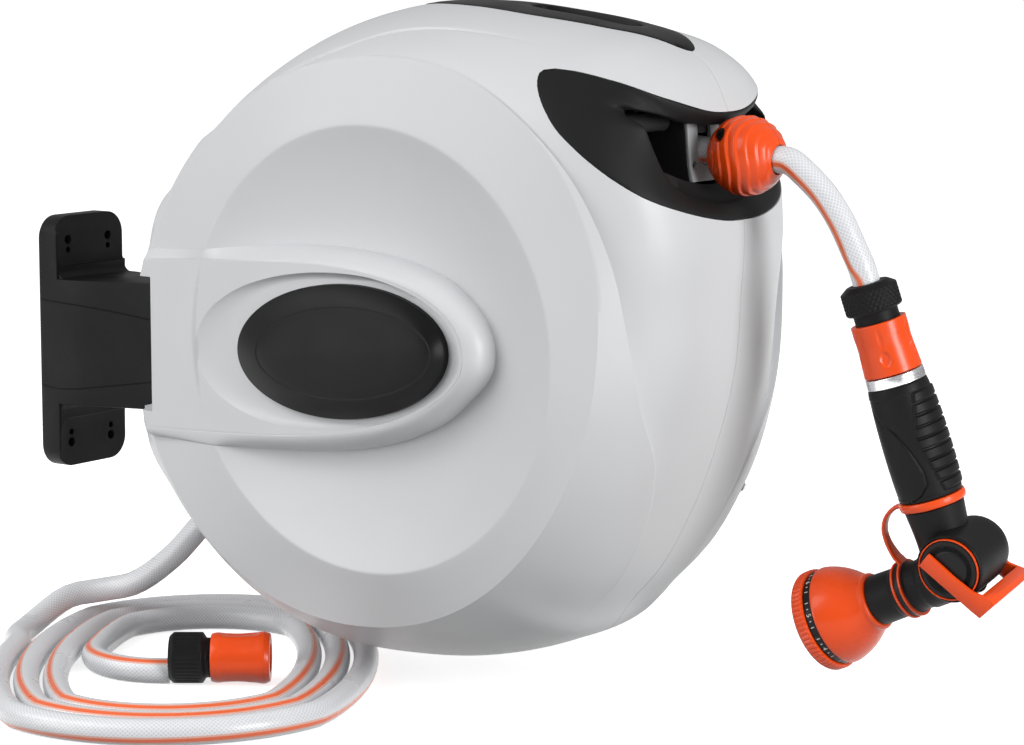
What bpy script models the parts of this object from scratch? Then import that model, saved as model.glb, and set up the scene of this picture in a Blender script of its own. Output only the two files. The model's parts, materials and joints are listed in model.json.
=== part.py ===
"""Wall-mounted hose reel with a spring-driven drum, a level-wind, a spray gun and a lead-in hose.

Metres, +Z up. X points away from the wall, and the drum turns about the Y direction.
The origin is the centre of the wall bracket's back face.
"""

import math

import bmesh
import bpy
import numpy as np
from mathutils import Matrix, Vector

# Driving dimensions

GAP = 0.0003
CUTTER_SPIN = math.radians(7.3)
AXLE = Vector((0.332, 0.0, 0.028))
FLOOR_Z = -0.195
HOSE_RADIUS = 0.008

# Seam outline of the casing about the axle: angle in degrees from +X towards +Z, radius in metres
SEAM_OUTLINE = (
    (-170, 0.229), (-158, 0.250), (-150, 0.238), (-140, 0.229), (-125, 0.222), (-110, 0.213),
    (-95, 0.203), (-80, 0.199), (-66, 0.199), (-59, 0.200), (-54, 0.194), (-45, 0.190),
    (-30, 0.184), (-15, 0.183), (-2, 0.187), (10, 0.193), (22, 0.207), (39, 0.230),
    (44, 0.235), (50, 0.233), (60, 0.220), (72, 0.208), (84, 0.203), (96, 0.202),
    (112, 0.202), (128, 0.203), (142, 0.208), (153, 0.218), (161, 0.236), (170, 0.229),
    (180, 0.226),
)
# Ridge where each side face meets the crown: angle, radius, half width
RIDGE_OUTLINE = (
    (-150, 0.190, 0.097), (-120, 0.180, 0.099), (-90, 0.168, 0.100), (-60, 0.160, 0.105),
    (-40, 0.156, 0.106), (-12, 0.155, 0.103), (6, 0.158, 0.101), (22, 0.166, 0.101),
    (45, 0.174, 0.104), (67, 0.175, 0.103), (90, 0.172, 0.102), (120, 0.174, 0.099),
    (150, 0.180, 0.097), (180, 0.190, 0.096),
)
# How full the crown is between seam and ridge: angle, exponent
CROWN_FULLNESS = (
    (-135, 2.2), (-90, 2.0), (-62, 2.4), (-48, 3.2), (-30, 3.2), (0, 2.5), (22, 2.6),
    (45, 3.2), (62, 2.3), (90, 2.0), (180, 2.0),
)
CASING_STEPS = 36
SIDE_RINGS = (0.045, 0.066, 0.086, 0.104, 0.119, 0.131)
CROWN_ROWS = (0.86, 0.66, 0.40)
WALL = 0.0038
RIM_RADIUS = 0.131
RIM_HALF_WIDTH = 0.112
DISH_HALF_WIDTH = 0.100
DISH_RADIUS = 0.110
WING_HALF_WIDTH = 0.119
WING_HALF_HEIGHT = 0.058
WING_TIP = 0.112
SEAM_HALF_GAP = 0.00015

CAP_CENTRE_X = -0.010
CAP_TILT = math.radians(4)
CAP_LENGTH = 0.155
CAP_HEIGHT = 0.081
CAP_POCKET_FLOOR = 0.117
CAP_STEPS = 32

SWIVEL_X = 0.120
SWIVEL_PIN_RADIUS = 0.005
NOTCH_HALF_HEIGHT = 0.0443
NOTCH_FRONT_X = 0.136
NOTCH_SIDE_X = 0.160
PLATE_THICKNESS = 0.0165
PLATE_WIDTH = 0.068
PLATE_HEIGHT = 0.168
NECK_HALF_HEIGHT = 0.041
SCREW_Y = 0.0195
SCREW_Z = 0.0680

DRUM_HALF_WIDTH = 0.0545
FLANGE_RADIUS = 0.142
FLANGE_THICKNESS = 0.0025
AXLE_RADIUS = 0.012
BARREL_RADIUS = 0.045
WINDING_PITCH = 0.0165
WINDING_TURNS = 5.5
WINDING_RADIUS = 0.128
WINDING_START = math.radians(176)

GEAR_MODULE = 0.003
DRUM_TEETH = 40
IDLER_TEETH = 28
SCREW_TEETH = 12
GEAR_Y = -0.0785
GEAR_WIDTH = 0.005
RATCHET_TEETH = 12
RATCHET_RADIUS = 0.052
RATCHET_Y = -0.062
PAWL_PIVOT = Vector((-0.0614, 0.0, -0.0266))
PAWL_BORE = 0.0035
IDLER_BORE = 0.0040
SCREW_RADIUS = 0.007
SCREW_ANGLE = math.radians(37)
ROD_RADIUS = 0.0055
ROD = AXLE + Vector((0.146, 0.0, 0.1350))

BALL_RADIUS = 0.0235
BALL = AXLE + Vector((0.193, 0.0, 0.116))
BALL_TILT = math.radians(-4)
CARRIAGE_HALF_WIDTH = 0.0220

GUN_TOP = AXLE + Vector((0.2703, 0.004, 0.0468))
GUN_AXIS = Vector((0.260, 0.155, -0.955)).normalized()
HEAD_AXIS = Vector((-0.911, -0.019, -0.413)).normalized()
VALVE_AXIS = GUN_AXIS.cross(HEAD_AXIS).normalized()
VALVE_ASIDE = GUN_AXIS.cross(VALVE_AXIS)
VALVE = GUN_TOP + GUN_AXIS * 0.1665 + VALVE_ASIDE * 0.0095
VALVE_RADIUS = 0.020
VALVE_HALF_LENGTH = 0.025
HEAD_BASE = VALVE + GUN_AXIS * 0.0065 - HEAD_AXIS * 0.003

COIL_CENTRE = Vector((0.1675, -0.079, FLOOR_Z + HOSE_RADIUS))
COIL_RIGHT = Vector((0.819, 0.574, 0.0)).normalized()
COIL_BACK = Vector((-0.574, 0.819, 0.0)).normalized()
COIL_START = math.radians(170)
COIL_LOOP_POINTS = 72
COIL_RADII = (0.1200, 0.0655)
COIL_HALF_STRAIGHT = 0.064
COIL_END_RADIUS = 0.050
LOOP_POINTS = 24
WINDING_LOOP_POINTS = 20


def material(name, colour, roughness, metallic=0.0):
    made = bpy.data.materials.new(name)
    made.use_nodes = True
    shader = made.node_tree.nodes["Principled BSDF"]
    shader.inputs["Base Color"].default_value = (*colour, 1.0)
    shader.inputs["Roughness"].default_value = roughness
    shader.inputs["Metallic"].default_value = metallic
    made.diffuse_color = (*colour, 1.0)
    return made


def finish(name, mesh, paint, origin=None, smooth_angle=35):
    """An object whose mesh is given in world coordinates, with its origin moved to a point."""
    pivot = Vector(origin) if origin is not None else Vector((0, 0, 0))
    mesh.transform(Matrix.Translation(-pivot))
    mesh.shade_smooth()
    mesh.set_sharp_from_angle(angle=math.radians(smooth_angle))
    mesh.materials.append(paint)
    made = bpy.data.objects.new(name, mesh)
    bpy.context.scene.collection.objects.link(made)
    made.location = pivot
    return made


def mesh_from(name, points, faces):
    mesh = bpy.data.meshes.new(name)
    mesh.from_pydata([tuple(p) for p in points], [], faces)
    work = bmesh.new()
    work.from_mesh(mesh)
    bmesh.ops.recalc_face_normals(work, faces=work.faces)
    work.to_mesh(mesh)
    work.free()
    return mesh


def facing(direction, point, spin=0.0):
    """A placement whose local +Z lies along a direction."""
    turn = Vector(direction).to_track_quat("Z", "Y").to_matrix().to_4x4()
    return Matrix.Translation(Vector(point)) @ turn @ Matrix.Rotation(spin, 4, "Z")


ALONG_Y = Matrix.Rotation(math.radians(-90), 4, "X")


def on_axle(y=0.0, centre=AXLE, spin=0.0):
    """A placement whose local +Z lies along +Y, and whose local +X is the world's."""
    return Matrix.Translation(Vector((centre[0], y, centre[2]))) @ ALONG_Y @ Matrix.Rotation(spin, 4, "Z")


def turned_mesh(name, profile, steps, place, ring=False):
    """A profile of (radius, height) turned about local Z. A ring has a closed profile with a bore."""
    points = []
    rows = []
    for radius, height in profile:
        if radius < 1e-7:
            rows.append([len(points)])
            points.append((0.0, 0.0, height))
            continue
        rows.append(list(range(len(points), len(points) + steps)))
        for i in range(steps):
            a = 2 * math.pi * i / steps
            points.append((radius * math.cos(a), radius * math.sin(a), height))
    pairs = list(zip(rows, rows[1:]))
    if ring:
        pairs.append((rows[-1], rows[0]))
    faces = []
    for low, high in pairs:
        for i in range(steps):
            j = (i + 1) % steps
            if len(low) == 1 and len(high) == 1:
                continue
            if len(low) == 1:
                faces.append((low[0], high[i], high[j]))
            elif len(high) == 1:
                faces.append((low[i], low[j], high[0]))
            else:
                faces.append((low[i], low[j], high[j], high[i]))
    return mesh_from(name, [place @ Vector(p) for p in points], faces)


def turned(name, profile, steps, place, paint, origin=None, ring=False):
    return finish(name, turned_mesh(name, profile, steps, place, ring), paint, origin)


def washer(name, inner, outer, low, high, steps, place, paint, origin=None):
    profile = ((inner, low), (outer, low), (outer, high), (inner, high))
    return turned(name, profile, steps, place, paint, origin, ring=True)


def prism_mesh(name, outline, low, high, place):
    """An outline of (x, y) raised from one height to another along local Z."""
    count = len(outline)
    points = [place @ Vector((x, y, low)) for x, y in outline]
    points += [place @ Vector((x, y, high)) for x, y in outline]
    faces = [tuple(range(count)), tuple(range(2 * count - 1, count - 1, -1))]
    for i in range(count):
        j = (i + 1) % count
        faces.append((i, j, count + j, count + i))
    return mesh_from(name, points, faces)


def prism(name, outline, low, high, place, paint, origin=None):
    return finish(name, prism_mesh(name, outline, low, high, place), paint, origin)


def rounded_outline(half_x, half_y, radius, steps=4):
    outline = []
    for sx, sy, start in ((1, 1, 0), (-1, 1, 90), (-1, -1, 180), (1, -1, 270)):
        for i in range(steps + 1):
            a = math.radians(start + 90 * i / steps)
            outline.append((
                sx * (half_x - radius) + radius * math.cos(a),
                sy * (half_y - radius) + radius * math.sin(a),
            ))
    return outline


def ellipse_outline(half_x, half_y, steps, centre=(0.0, 0.0)):
    turns = [2 * math.pi * i / steps for i in range(steps)]
    return [(centre[0] + half_x * math.cos(a), centre[1] + half_y * math.sin(a)) for a in turns]


def box_mesh(name, low, high):
    outline = [(low[0], low[1]), (high[0], low[1]), (high[0], high[1]), (low[0], high[1])]
    return prism_mesh(name, outline, low[2], high[2], Matrix.Identity(4))


def cutter(mesh):
    """A hidden object that cuts others."""
    made = bpy.data.objects.new(mesh.name, mesh)
    bpy.context.scene.collection.objects.link(made)
    made.hide_render = True
    made.display_type = "WIRE"
    return made


def cylinder_cutter(name, radius, start, end, steps=20):
    start, end = Vector(start), Vector(end)
    profile = ((0.0, 0.0), (radius, 0.0), (radius, (end - start).length), (0.0, (end - start).length))
    return cutter(turned_mesh(name, profile, steps, facing(end - start, start, CUTTER_SPIN)))


def combine(target, tool, operation="DIFFERENCE"):
    modifier = target.modifiers.new(tool.name, "BOOLEAN")
    modifier.operation = operation
    modifier.object = tool
    modifier.solver = "EXACT"
    return target


def smooth_path(points, spacing):
    """Points at an even spacing along a smooth curve through the given ones."""
    ends = [2 * points[0] - points[1]] + list(points) + [2 * points[-1] - points[-2]]
    fine = []
    for a, b, c, d in zip(ends, ends[1:], ends[2:], ends[3:]):
        for i in range(24):
            t = i / 24
            fine.append(0.5 * (2 * b + (c - a) * t + (2 * a - 5 * b + 4 * c - d) * t * t
                               + (3 * b - a - 3 * c + d) * t ** 3))
    fine.append(points[-1].copy())
    lengths = [0.0]
    for a, b in zip(fine, fine[1:]):
        lengths.append(lengths[-1] + (b - a).length)
    count = max(2, round(lengths[-1] / spacing) + 1)
    return [Vector([float(np.interp(lengths[-1] * i / (count - 1), lengths, [p[k] for p in fine]))
                    for k in range(3)]) for i in range(count)]


def tube(name, points, radius, paint, resolution=2):
    curve = bpy.data.curves.new(name, "CURVE")
    curve.dimensions = "3D"
    curve.bevel_depth = radius
    curve.bevel_resolution = resolution
    curve.use_fill_caps = True
    spline = curve.splines.new("POLY")
    spline.points.add(len(points) - 1)
    for slot, point in zip(spline.points, points):
        slot.co = (*point, 1.0)
    curve.materials.append(paint)
    made = bpy.data.objects.new(name, curve)
    bpy.context.scene.collection.objects.link(made)
    return made


def least_gap(name, points, radius):
    """Prints the least gap of a wound tube to itself, measured between its points and segments."""
    path = np.array([tuple(p) for p in points])
    starts, steps = path[:-1], np.diff(path, axis=0)
    least = 1.0
    for i in range(len(path)):
        far = np.abs(np.arange(len(starts)) - i) > LOOP_POINTS // 3
        if not far.any():
            continue
        offset = path[i] - starts[far]
        along = np.clip((offset * steps[far]).sum(1) / (steps[far] ** 2).sum(1), 0, 1)
        least = min(least, np.linalg.norm(offset - along[:, None] * steps[far], axis=1).min())
    print(f"{name}: least gap to itself {(least - 2 * radius) * 1000:.2f} mm")


def ring_function(keys):
    """A smooth closed function of the angle in degrees, through keys of (angle, value)."""
    keys = sorted((angle % 360, value) for angle, value in keys)
    angles = [a for a, _ in keys]
    values = [v for _, v in keys]
    angles = [angles[-2] - 360, angles[-1] - 360] + angles + [a + 360 for a in angles[:3]]
    values = values[-2:] + values + values[:3]

    def read(angle):
        angle %= 360
        i = max(k for k in range(1, len(angles) - 2) if angles[k] <= angle)
        width = angles[i + 1] - angles[i]
        t = (angle - angles[i]) / width
        start = (values[i + 1] - values[i - 1]) / (angles[i + 1] - angles[i - 1]) * width
        end = (values[i + 2] - values[i]) / (angles[i + 2] - angles[i]) * width
        return ((2 * t ** 3 - 3 * t ** 2 + 1) * values[i] + (t ** 3 - 2 * t ** 2 + t) * start
                + (3 * t ** 2 - 2 * t ** 3) * values[i + 1] + (t ** 3 - t ** 2) * end)

    return read


seam_radius = ring_function(SEAM_OUTLINE)
ridge_radius = ring_function([(a, r) for a, r, _ in RIDGE_OUTLINE])
ridge_half_width = ring_function([(a, w) for a, _, w in RIDGE_OUTLINE])
crown_fullness = ring_function(CROWN_FULLNESS)


def ease(low, high, value):
    t = min(max((value - low) / (high - low), 0.0), 1.0)
    return t * t * (3 - 2 * t)


def side_half_width(x, z):
    """Half width of the casing over a point of the side face, given from the axle."""
    radius = math.hypot(x, z)
    angle = math.degrees(math.atan2(z, x))
    if radius > RIM_RADIUS:
        share = (radius - RIM_RADIUS) / (ridge_radius(angle) - RIM_RADIUS)
        base = RIM_HALF_WIDTH + (ridge_half_width(angle) - RIM_HALF_WIDTH) * share
    else:
        rise = ease(DISH_RADIUS, RIM_RADIUS, radius)
        base = DISH_HALF_WIDTH + (RIM_HALF_WIDTH - DISH_HALF_WIDTH) * rise
    if x >= WING_TIP:
        return base
    half_height = WING_HALF_HEIGHT * (1 - (max(x, 0.0) / WING_TIP) ** 2)
    beyond = abs(z + 0.001 - 0.05 * x) - half_height
    top = WING_HALF_WIDTH - 0.019 * ease(0.060, 0.200, -x)
    return max(base, top - (top - 0.095) * ease(-0.012, 0.020, beyond))


def crown_radius(angle, share):
    """Radius of the crown at a share of the ridge's half width from the seam."""
    seam, ridge = seam_radius(angle), ridge_radius(angle)
    return seam - (seam - ridge) * share ** crown_fullness(angle)


def casing_rows(inset):
    """Rows of (x, y, z) from the side face's centre to the seam, for one side, on the +Y side."""
    rows = [[Vector((0.0, side_half_width(0.0, 0.0) - inset, 0.0))]]
    angles = [360 * i / CASING_STEPS for i in range(CASING_STEPS)]
    units = [(math.cos(math.radians(a)), math.sin(math.radians(a))) for a in angles]
    for radius in SIDE_RINGS:
        rows.append([Vector((radius * c, side_half_width(radius * c, radius * s) - inset, radius * s))
                     for c, s in units])
    middle = []
    ridge = []
    for a, (c, s) in zip(angles, units):
        outer = ridge_radius(a) - inset
        half = (outer + RIM_RADIUS) / 2
        middle.append(Vector((half * c, side_half_width(half * c, half * s) - inset, half * s)))
        rim = ridge_radius(a) - 0.0001
        wide = side_half_width(rim * c, rim * s)
        ridge.append(Vector((outer * c, wide - inset, outer * s)))
    rows += [middle, ridge]
    for share in CROWN_ROWS:
        row = []
        for a, (c, s) in zip(angles, units):
            radius = crown_radius(a, share) - inset
            row.append(Vector((radius * c, ridge_half_width(a) * share, radius * s)))
        rows.append(row)
    rows.append([Vector(((seam_radius(a) - inset) * c, 0.0, (seam_radius(a) - inset) * s))
                 for a, (c, s) in zip(angles, units)])
    return rows


def casing_half_mesh(name, side, inset=0.0):
    """One half of the casing as a plain solid, closed by a flat face beside the seam."""
    rows = casing_rows(inset)
    points = []
    numbers = []
    for row in rows:
        numbers.append(list(range(len(points), len(points) + len(row))))
        for p in row:
            points.append(AXLE + Vector((p.x, side * max(p.y, SEAM_HALF_GAP), p.z)))
    faces = bands(numbers)
    faces.append(tuple(numbers[-1]))
    return mesh_from(name, points, faces)


def bands(numbers):
    faces = []
    for low, high in zip(numbers, numbers[1:]):
        count = len(high)
        for i in range(count):
            j = (i + 1) % count
            if len(low) == 1:
                faces.append((low[0], high[i], high[j]))
            else:
                faces.append((low[i], low[j], high[j], high[i]))
    return faces


def casing_whole_mesh(name, inset):
    """Both sides of the casing as one plain solid, without a seam."""
    rows = casing_rows(inset)
    points = []
    numbers = {}
    for side in (1, -1):
        numbers[side] = []
        for row in rows[:-1]:
            numbers[side].append(list(range(len(points), len(points) + len(row))))
            points += [AXLE + Vector((p.x, side * p.y, p.z)) for p in row]
    seam = list(range(len(points), len(points) + CASING_STEPS))
    points += [AXLE + p for p in rows[-1]]
    faces = bands(numbers[1] + [seam]) + bands(numbers[-1] + [seam])
    return mesh_from(name, points, faces)


def eye_outline(upper, lower):
    """A closed outline from keys of (half width, height) along its upper and lower edges."""
    right = list(upper) + list(reversed(lower))
    left = [(-y, z) for y, z in reversed(right) if y > 1e-6]
    return [(y, z) for y, z in right] + left


# Mouth trim and mouth opening: (distance from the seam, height above the axle), upper and lower edges
TRIM_UPPER = ((0.0, 0.141), (0.018, 0.142), (0.036, 0.146), (0.057, 0.153), (0.070, 0.161), (0.079, 0.167))
TRIM_LOWER = ((0.0, 0.079), (0.022, 0.080), (0.048, 0.085), (0.071, 0.093), (0.085, 0.103),
              (0.094, 0.116), (0.098, 0.131), (0.096, 0.146), (0.089, 0.159))
MOUTH_UPPER = ((0.0, 0.1365), (0.030, 0.1365), (0.048, 0.1390), (0.063, 0.1440), (0.072, 0.1450))
MOUTH_LOWER = ((0.0, 0.087), (0.020, 0.087), (0.039, 0.089), (0.055, 0.094), (0.067, 0.104),
               (0.074, 0.118), (0.077, 0.134))
MOUTH_BACK_X = 0.100
MOUTH_FRONT_X = 0.260


def grown(outline, distance):
    """The outline moved outwards by a distance. It runs clockwise as seen from the front."""
    moved = []
    for i, point in enumerate(outline):
        before = (Vector(point) - Vector(outline[i - 1])).normalized()
        after = (Vector(outline[(i + 1) % len(outline)]) - Vector(point)).normalized()
        along = (before + after).normalized()
        reach = distance / max(along.dot(before), 0.3)
        moved.append((point[0] - along.y * reach, point[1] + along.x * reach))
    return moved


def eye_mesh(name, upper, lower, grow=0.0):
    place = Matrix.Translation(AXLE) @ Matrix(((0, 0, 1, 0), (1, 0, 0, 0), (0, 1, 0, 0), (0, 0, 0, 1)))
    return prism_mesh(name, grown(eye_outline(upper, lower), grow), MOUTH_BACK_X - grow, MOUTH_FRONT_X, place)


INSERT_CENTRE_X = 0.060
INSERT_HALF_LENGTH = 0.095
INSERT_HALF_WIDTH = 0.031
INSERT_BOTTOM = 0.172
SLOT_CENTRE_X = 0.082
SLOT_HALF_LENGTH = 0.036
SLOT_HALF_WIDTH = 0.012
SLOT_BOTTOM = 0.180

POSTS = ((-0.118, 0.120), (-0.130, -0.128), (0.070, -0.164), (0.146, -0.092))
POST_RADIUS = 0.007
CASING_SCREW_RADIUS = 0.0022
CASING_SCREW_HEAD = 0.0042
GLAND_POINT = AXLE + Vector((-0.196, 0.0, -0.128))
GLAND_AXIS = Vector((-0.80, -0.22, -0.56)).normalized()


def notch_mesh(name, wall):
    """The notch around the bracket's neck, which opens towards both sides, grown by a wall."""
    back = SWIVEL_X - 0.05
    right = [(NOTCH_FRONT_X + wall, 0.030), (NOTCH_SIDE_X + wall, 0.100), (NOTCH_SIDE_X + wall, 0.15)]
    outline = [(back, -0.15), (back, 0.15)] + right[::-1] + [(x, -y) for x, y in right]
    return prism_mesh(name, outline, -NOTCH_HALF_HEIGHT - wall, NOTCH_HALF_HEIGHT + wall, Matrix.Identity(4))


def build_casing(light, black, steel):
    """Both shells, the mouth trim, the top handle insert, the side caps and the casing screws."""
    notch = cutter(notch_mesh("notch_cutter", 0.0))
    notch_wall = cutter(notch_mesh("notch_wall_cutter", WALL))
    cavity = cutter(casing_whole_mesh("cavity_cutter", WALL))
    combine(cavity, notch_wall)
    lug_reach = 0.066
    for end in (1, -1):
        lug = cylinder_cutter(f"swivel_lug_{end}_cutter", 0.013,
                              (SWIVEL_X, 0, end * NOTCH_HALF_HEIGHT), (SWIVEL_X, 0, end * lug_reach))
        combine(cavity, lug)
    for number, (x, z) in enumerate(POSTS):
        at = AXLE + Vector((x, 0, z))
        post = cylinder_cutter(f"post_{number}_cutter", POST_RADIUS, at + Vector((0, -0.12, 0)),
                               at + Vector((0, 0.12, 0)), 16)
        combine(cavity, post)
    for end in (1, -1):
        boss = cylinder_cutter(f"axle_boss_{end}_cutter", 0.020, AXLE + Vector((0, end * 0.083, 0)),
                               AXLE + Vector((0, end * 0.13, 0)), 18)
        combine(cavity, boss)
    idler, _ = level_wind_places()
    for name, at, radius, tip in (("idler_pin", idler, IDLER_BORE, -0.0640),
                                  ("pawl_pin", AXLE + PAWL_PIVOT, PAWL_BORE, -0.0585)):
        combine(cavity, cylinder_cutter(f"{name}_cutter", radius, Vector((at.x, -0.13, at.z)),
                                        Vector((at.x, tip, at.z)), 16))
    pin_hole = cylinder_cutter("pin_hole_cutter", SWIVEL_PIN_RADIUS + GAP, (SWIVEL_X, 0, -0.0625),
                               (SWIVEL_X, 0, 0.0625))
    axle_hole = cylinder_cutter("axle_hole_cutter", AXLE_RADIUS + GAP, AXLE + Vector((0, -0.093, 0)),
                                AXLE + Vector((0, 0.093, 0)), 20)
    gland_hole = cylinder_cutter("gland_hole_cutter", 0.0125 + GAP, GLAND_POINT - 0.03 * GLAND_AXIS,
                                 GLAND_POINT + 0.05 * GLAND_AXIS)
    eye = cutter(eye_mesh("eye_cutter", TRIM_UPPER, TRIM_LOWER))
    insert_place = Matrix.Translation(AXLE)
    insert_hole = cutter(prism_mesh(
        "insert_hole_cutter",
        ellipse_outline(INSERT_HALF_LENGTH + GAP, INSERT_HALF_WIDTH + GAP, 36, (INSERT_CENTRE_X, 0)),
        INSERT_BOTTOM - 0.02, 0.26, insert_place))
    screw_holes = []
    for number, (x, z) in enumerate(POSTS):
        at = AXLE + Vector((x, 0, z))
        screw_holes.append(cylinder_cutter(f"screw_hole_{number}_cutter", CASING_SCREW_RADIUS + GAP,
                                           at + Vector((0, -0.030, 0)), at + Vector((0, 0.075, 0)), 12))
        screw_holes.append(cylinder_cutter(f"screw_head_hole_{number}_cutter", CASING_SCREW_HEAD + GAP,
                                           at + Vector((0, 0.072, 0)), at + Vector((0, 0.15, 0)), 10))
    for name, side in (("left_shell", -1), ("right_shell", 1)):
        shell = finish(name, casing_half_mesh(name, side), light)
        pocket = cutter(prism_mesh(
            f"{name}_cap_pocket_cutter",
            ellipse_outline(CAP_LENGTH / 2 + 0.004, CAP_HEIGHT / 2 + 0.004, CAP_STEPS),
            CAP_POCKET_FLOOR, 0.14, cap_place(side)))
        for tool in [cavity, notch, pin_hole, axle_hole, gland_hole, eye, insert_hole, pocket] + screw_holes:
            combine(shell, tool)
        build_cap("left_cap" if side < 0 else "right_cap", side, black)
    outer = cutter(casing_whole_mesh("outer_volume", 0.0))
    inner = cutter(casing_whole_mesh("trim_inner_cutter", WALL + 0.001))
    opening = cutter(eye_mesh("mouth_cutter", MOUTH_UPPER, MOUTH_LOWER))
    trim = finish("mouth_trim", eye_mesh("mouth_trim", TRIM_UPPER, TRIM_LOWER, -0.0004), black)
    combine(trim, outer, "INTERSECT")
    combine(trim, inner)
    combine(trim, opening)
    insert = prism("handle_insert",
                   ellipse_outline(INSERT_HALF_LENGTH, INSERT_HALF_WIDTH, 36, (INSERT_CENTRE_X, 0)),
                   INSERT_BOTTOM, 0.26, insert_place, black)
    combine(insert, outer, "INTERSECT")
    slot = cutter(prism_mesh("slot_cutter", rounded_outline(SLOT_HALF_LENGTH, SLOT_HALF_WIDTH, 0.0118),
                             SLOT_BOTTOM, 0.26, insert_place @ Matrix.Translation((SLOT_CENTRE_X, 0, 0))))
    combine(insert, slot)
    for number, (x, z) in enumerate(POSTS):
        profile = ((0, -0.028), (CASING_SCREW_RADIUS, -0.025), (CASING_SCREW_RADIUS, 0.0724),
                   (CASING_SCREW_HEAD, 0.0724), (CASING_SCREW_HEAD, 0.0745), (0, 0.0755))
        turned(f"casing_screw_{number + 1}", profile, 10, on_axle(centre=AXLE + Vector((x, 0, z))), steel)


def cap_place(side):
    """Local +Z points out of the side face, and local X runs along the world's X, a little upwards."""
    across = Matrix(((1, 0, 0, 0), (0, 0, side, 0), (0, 1, 0, 0), (0, 0, 0, 1)))
    return Matrix.Translation(AXLE + Vector((CAP_CENTRE_X, 0, 0))) @ across @ Matrix.Rotation(CAP_TILT, 4, "Z")


def build_cap(name, side, paint):
    """Oval cover of one side: a straight edge, a bevelled band and a shallow dome."""
    base = CAP_POCKET_FLOOR + GAP
    levels = ((0.0, base), (0.0, base + 0.004), (0.0105, base + 0.0105), (0.013, base + 0.0112),
              (0.026, base + 0.0128))
    points = []
    rows = []
    for shrink, height in levels:
        rows.append(list(range(len(points), len(points) + CAP_STEPS)))
        outline = ellipse_outline(CAP_LENGTH / 2 - shrink, CAP_HEIGHT / 2 - shrink, CAP_STEPS)
        points += [cap_place(side) @ Vector((x, y, height)) for x, y in outline]
    rows.append([len(points)])
    points.append(cap_place(side) @ Vector((0, 0, base + 0.0134)))
    faces = bands(list(reversed(rows)))
    faces.append(tuple(rows[0]))
    finish(name, mesh_from(name, points, faces), paint)


def build_bracket(black, steel):
    """Wall bracket with its neck and its four screw holes, and the swivel pin."""
    flat = Matrix(((0, 0, 1, 0), (1, 0, 0, 0), (0, 1, 0, 0), (0, 0, 0, 1)))
    bracket = prism("wall_bracket", rounded_outline(PLATE_WIDTH / 2, PLATE_HEIGHT / 2, 0.014),
                    0.0, PLATE_THICKNESS, flat, black)
    bevel = bracket.modifiers.new("rounding", "BEVEL")
    bevel.width = 0.002
    bevel.segments = 1
    bevel.limit_method = "ANGLE"
    bevel.angle_limit = math.radians(60)
    ahead = SWIVEL_X + 0.0125
    half = [(0.004, 0.0325), (0.034, 0.0300), (0.068, 0.0230), (0.100, 0.0160), (0.115, 0.0125)]
    nose = [(SWIVEL_X + 0.0125 * math.sin(a), 0.0125 * math.cos(a))
            for a in [math.radians(15 * i) for i in range(1, 6)]]
    right = half + nose
    outline = right + [(ahead, 0.0)] + [(x, -y) for x, y in reversed(right)]
    neck = cutter(prism_mesh("neck_cutter", outline, -NECK_HALF_HEIGHT, NECK_HALF_HEIGHT,
                             Matrix.Identity(4)))
    combine(bracket, neck, "UNION")
    combine(bracket, cylinder_cutter("bracket_pin_cutter", SWIVEL_PIN_RADIUS + GAP,
                                     (SWIVEL_X, 0, -0.08), (SWIVEL_X, 0, 0.08)))
    number = 0
    for y, z in ((-SCREW_Y, SCREW_Z), (SCREW_Y, SCREW_Z), (-SCREW_Y, -SCREW_Z), (SCREW_Y, -SCREW_Z)):
        number += 1
        hole = ((0, -0.01), (0.0028, -0.01), (0.0028, 0.0105), (0.0058, 0.0135), (0.0058, 0.03), (0, 0.03))
        place = facing((1, 0, 0), (0, y, z))
        combine(bracket, cutter(turned_mesh(f"screw_seat_{number}_cutter", hole, 16, place)))
    profile = ((0, -0.062), (0.0042, -0.062), (SWIVEL_PIN_RADIUS, -0.061), (SWIVEL_PIN_RADIUS, 0.061),
               (0.0042, 0.062), (0, 0.062))
    turned("swivel_pin", profile, 20, Matrix.Translation((SWIVEL_X, 0, 0)), steel)


def gear_outline(teeth, module, spin=0.0, backlash=0.0004):
    """Outline of a spur gear: each tooth has a root and a narrowed tip."""
    pitch = teeth * module / 2
    root, tip = pitch - 1.2 * module, pitch + 0.85 * module
    outline = []
    for i in range(teeth):
        centre = spin + 2 * math.pi * i / teeth
        thick = math.pi / (2 * teeth) - backlash / pitch / 2
        for radius, spread in ((root, -1.55), (tip, -0.50), (tip, 0.50), (root, 1.55)):
            angle = centre + spread * thick
            outline.append((radius * math.cos(angle), radius * math.sin(angle)))
    return outline


def gear(name, teeth, centre, spin, bore, paint):
    place = on_axle(GEAR_Y, centre)
    made = prism(name, gear_outline(teeth, GEAR_MODULE, spin), -GEAR_WIDTH / 2, GEAR_WIDTH / 2, place,
                 paint, (centre[0], GEAR_Y, centre[2]))
    hole = cylinder_cutter(f"{name}_bore_cutter", bore, Vector((centre[0], GEAR_Y - 0.01, centre[2])),
                           Vector((centre[0], GEAR_Y + 0.01, centre[2])))
    return combine(made, hole)


def level_wind_places():
    """Centres of the idler and of the lead screw on one line from the axle."""
    away = Vector((math.cos(SCREW_ANGLE), 0, math.sin(SCREW_ANGLE)))
    idler = AXLE + away * (DRUM_TEETH + IDLER_TEETH) * GEAR_MODULE / 2
    screw = idler + away * (IDLER_TEETH + SCREW_TEETH) * GEAR_MODULE / 2
    return idler, screw


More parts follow.
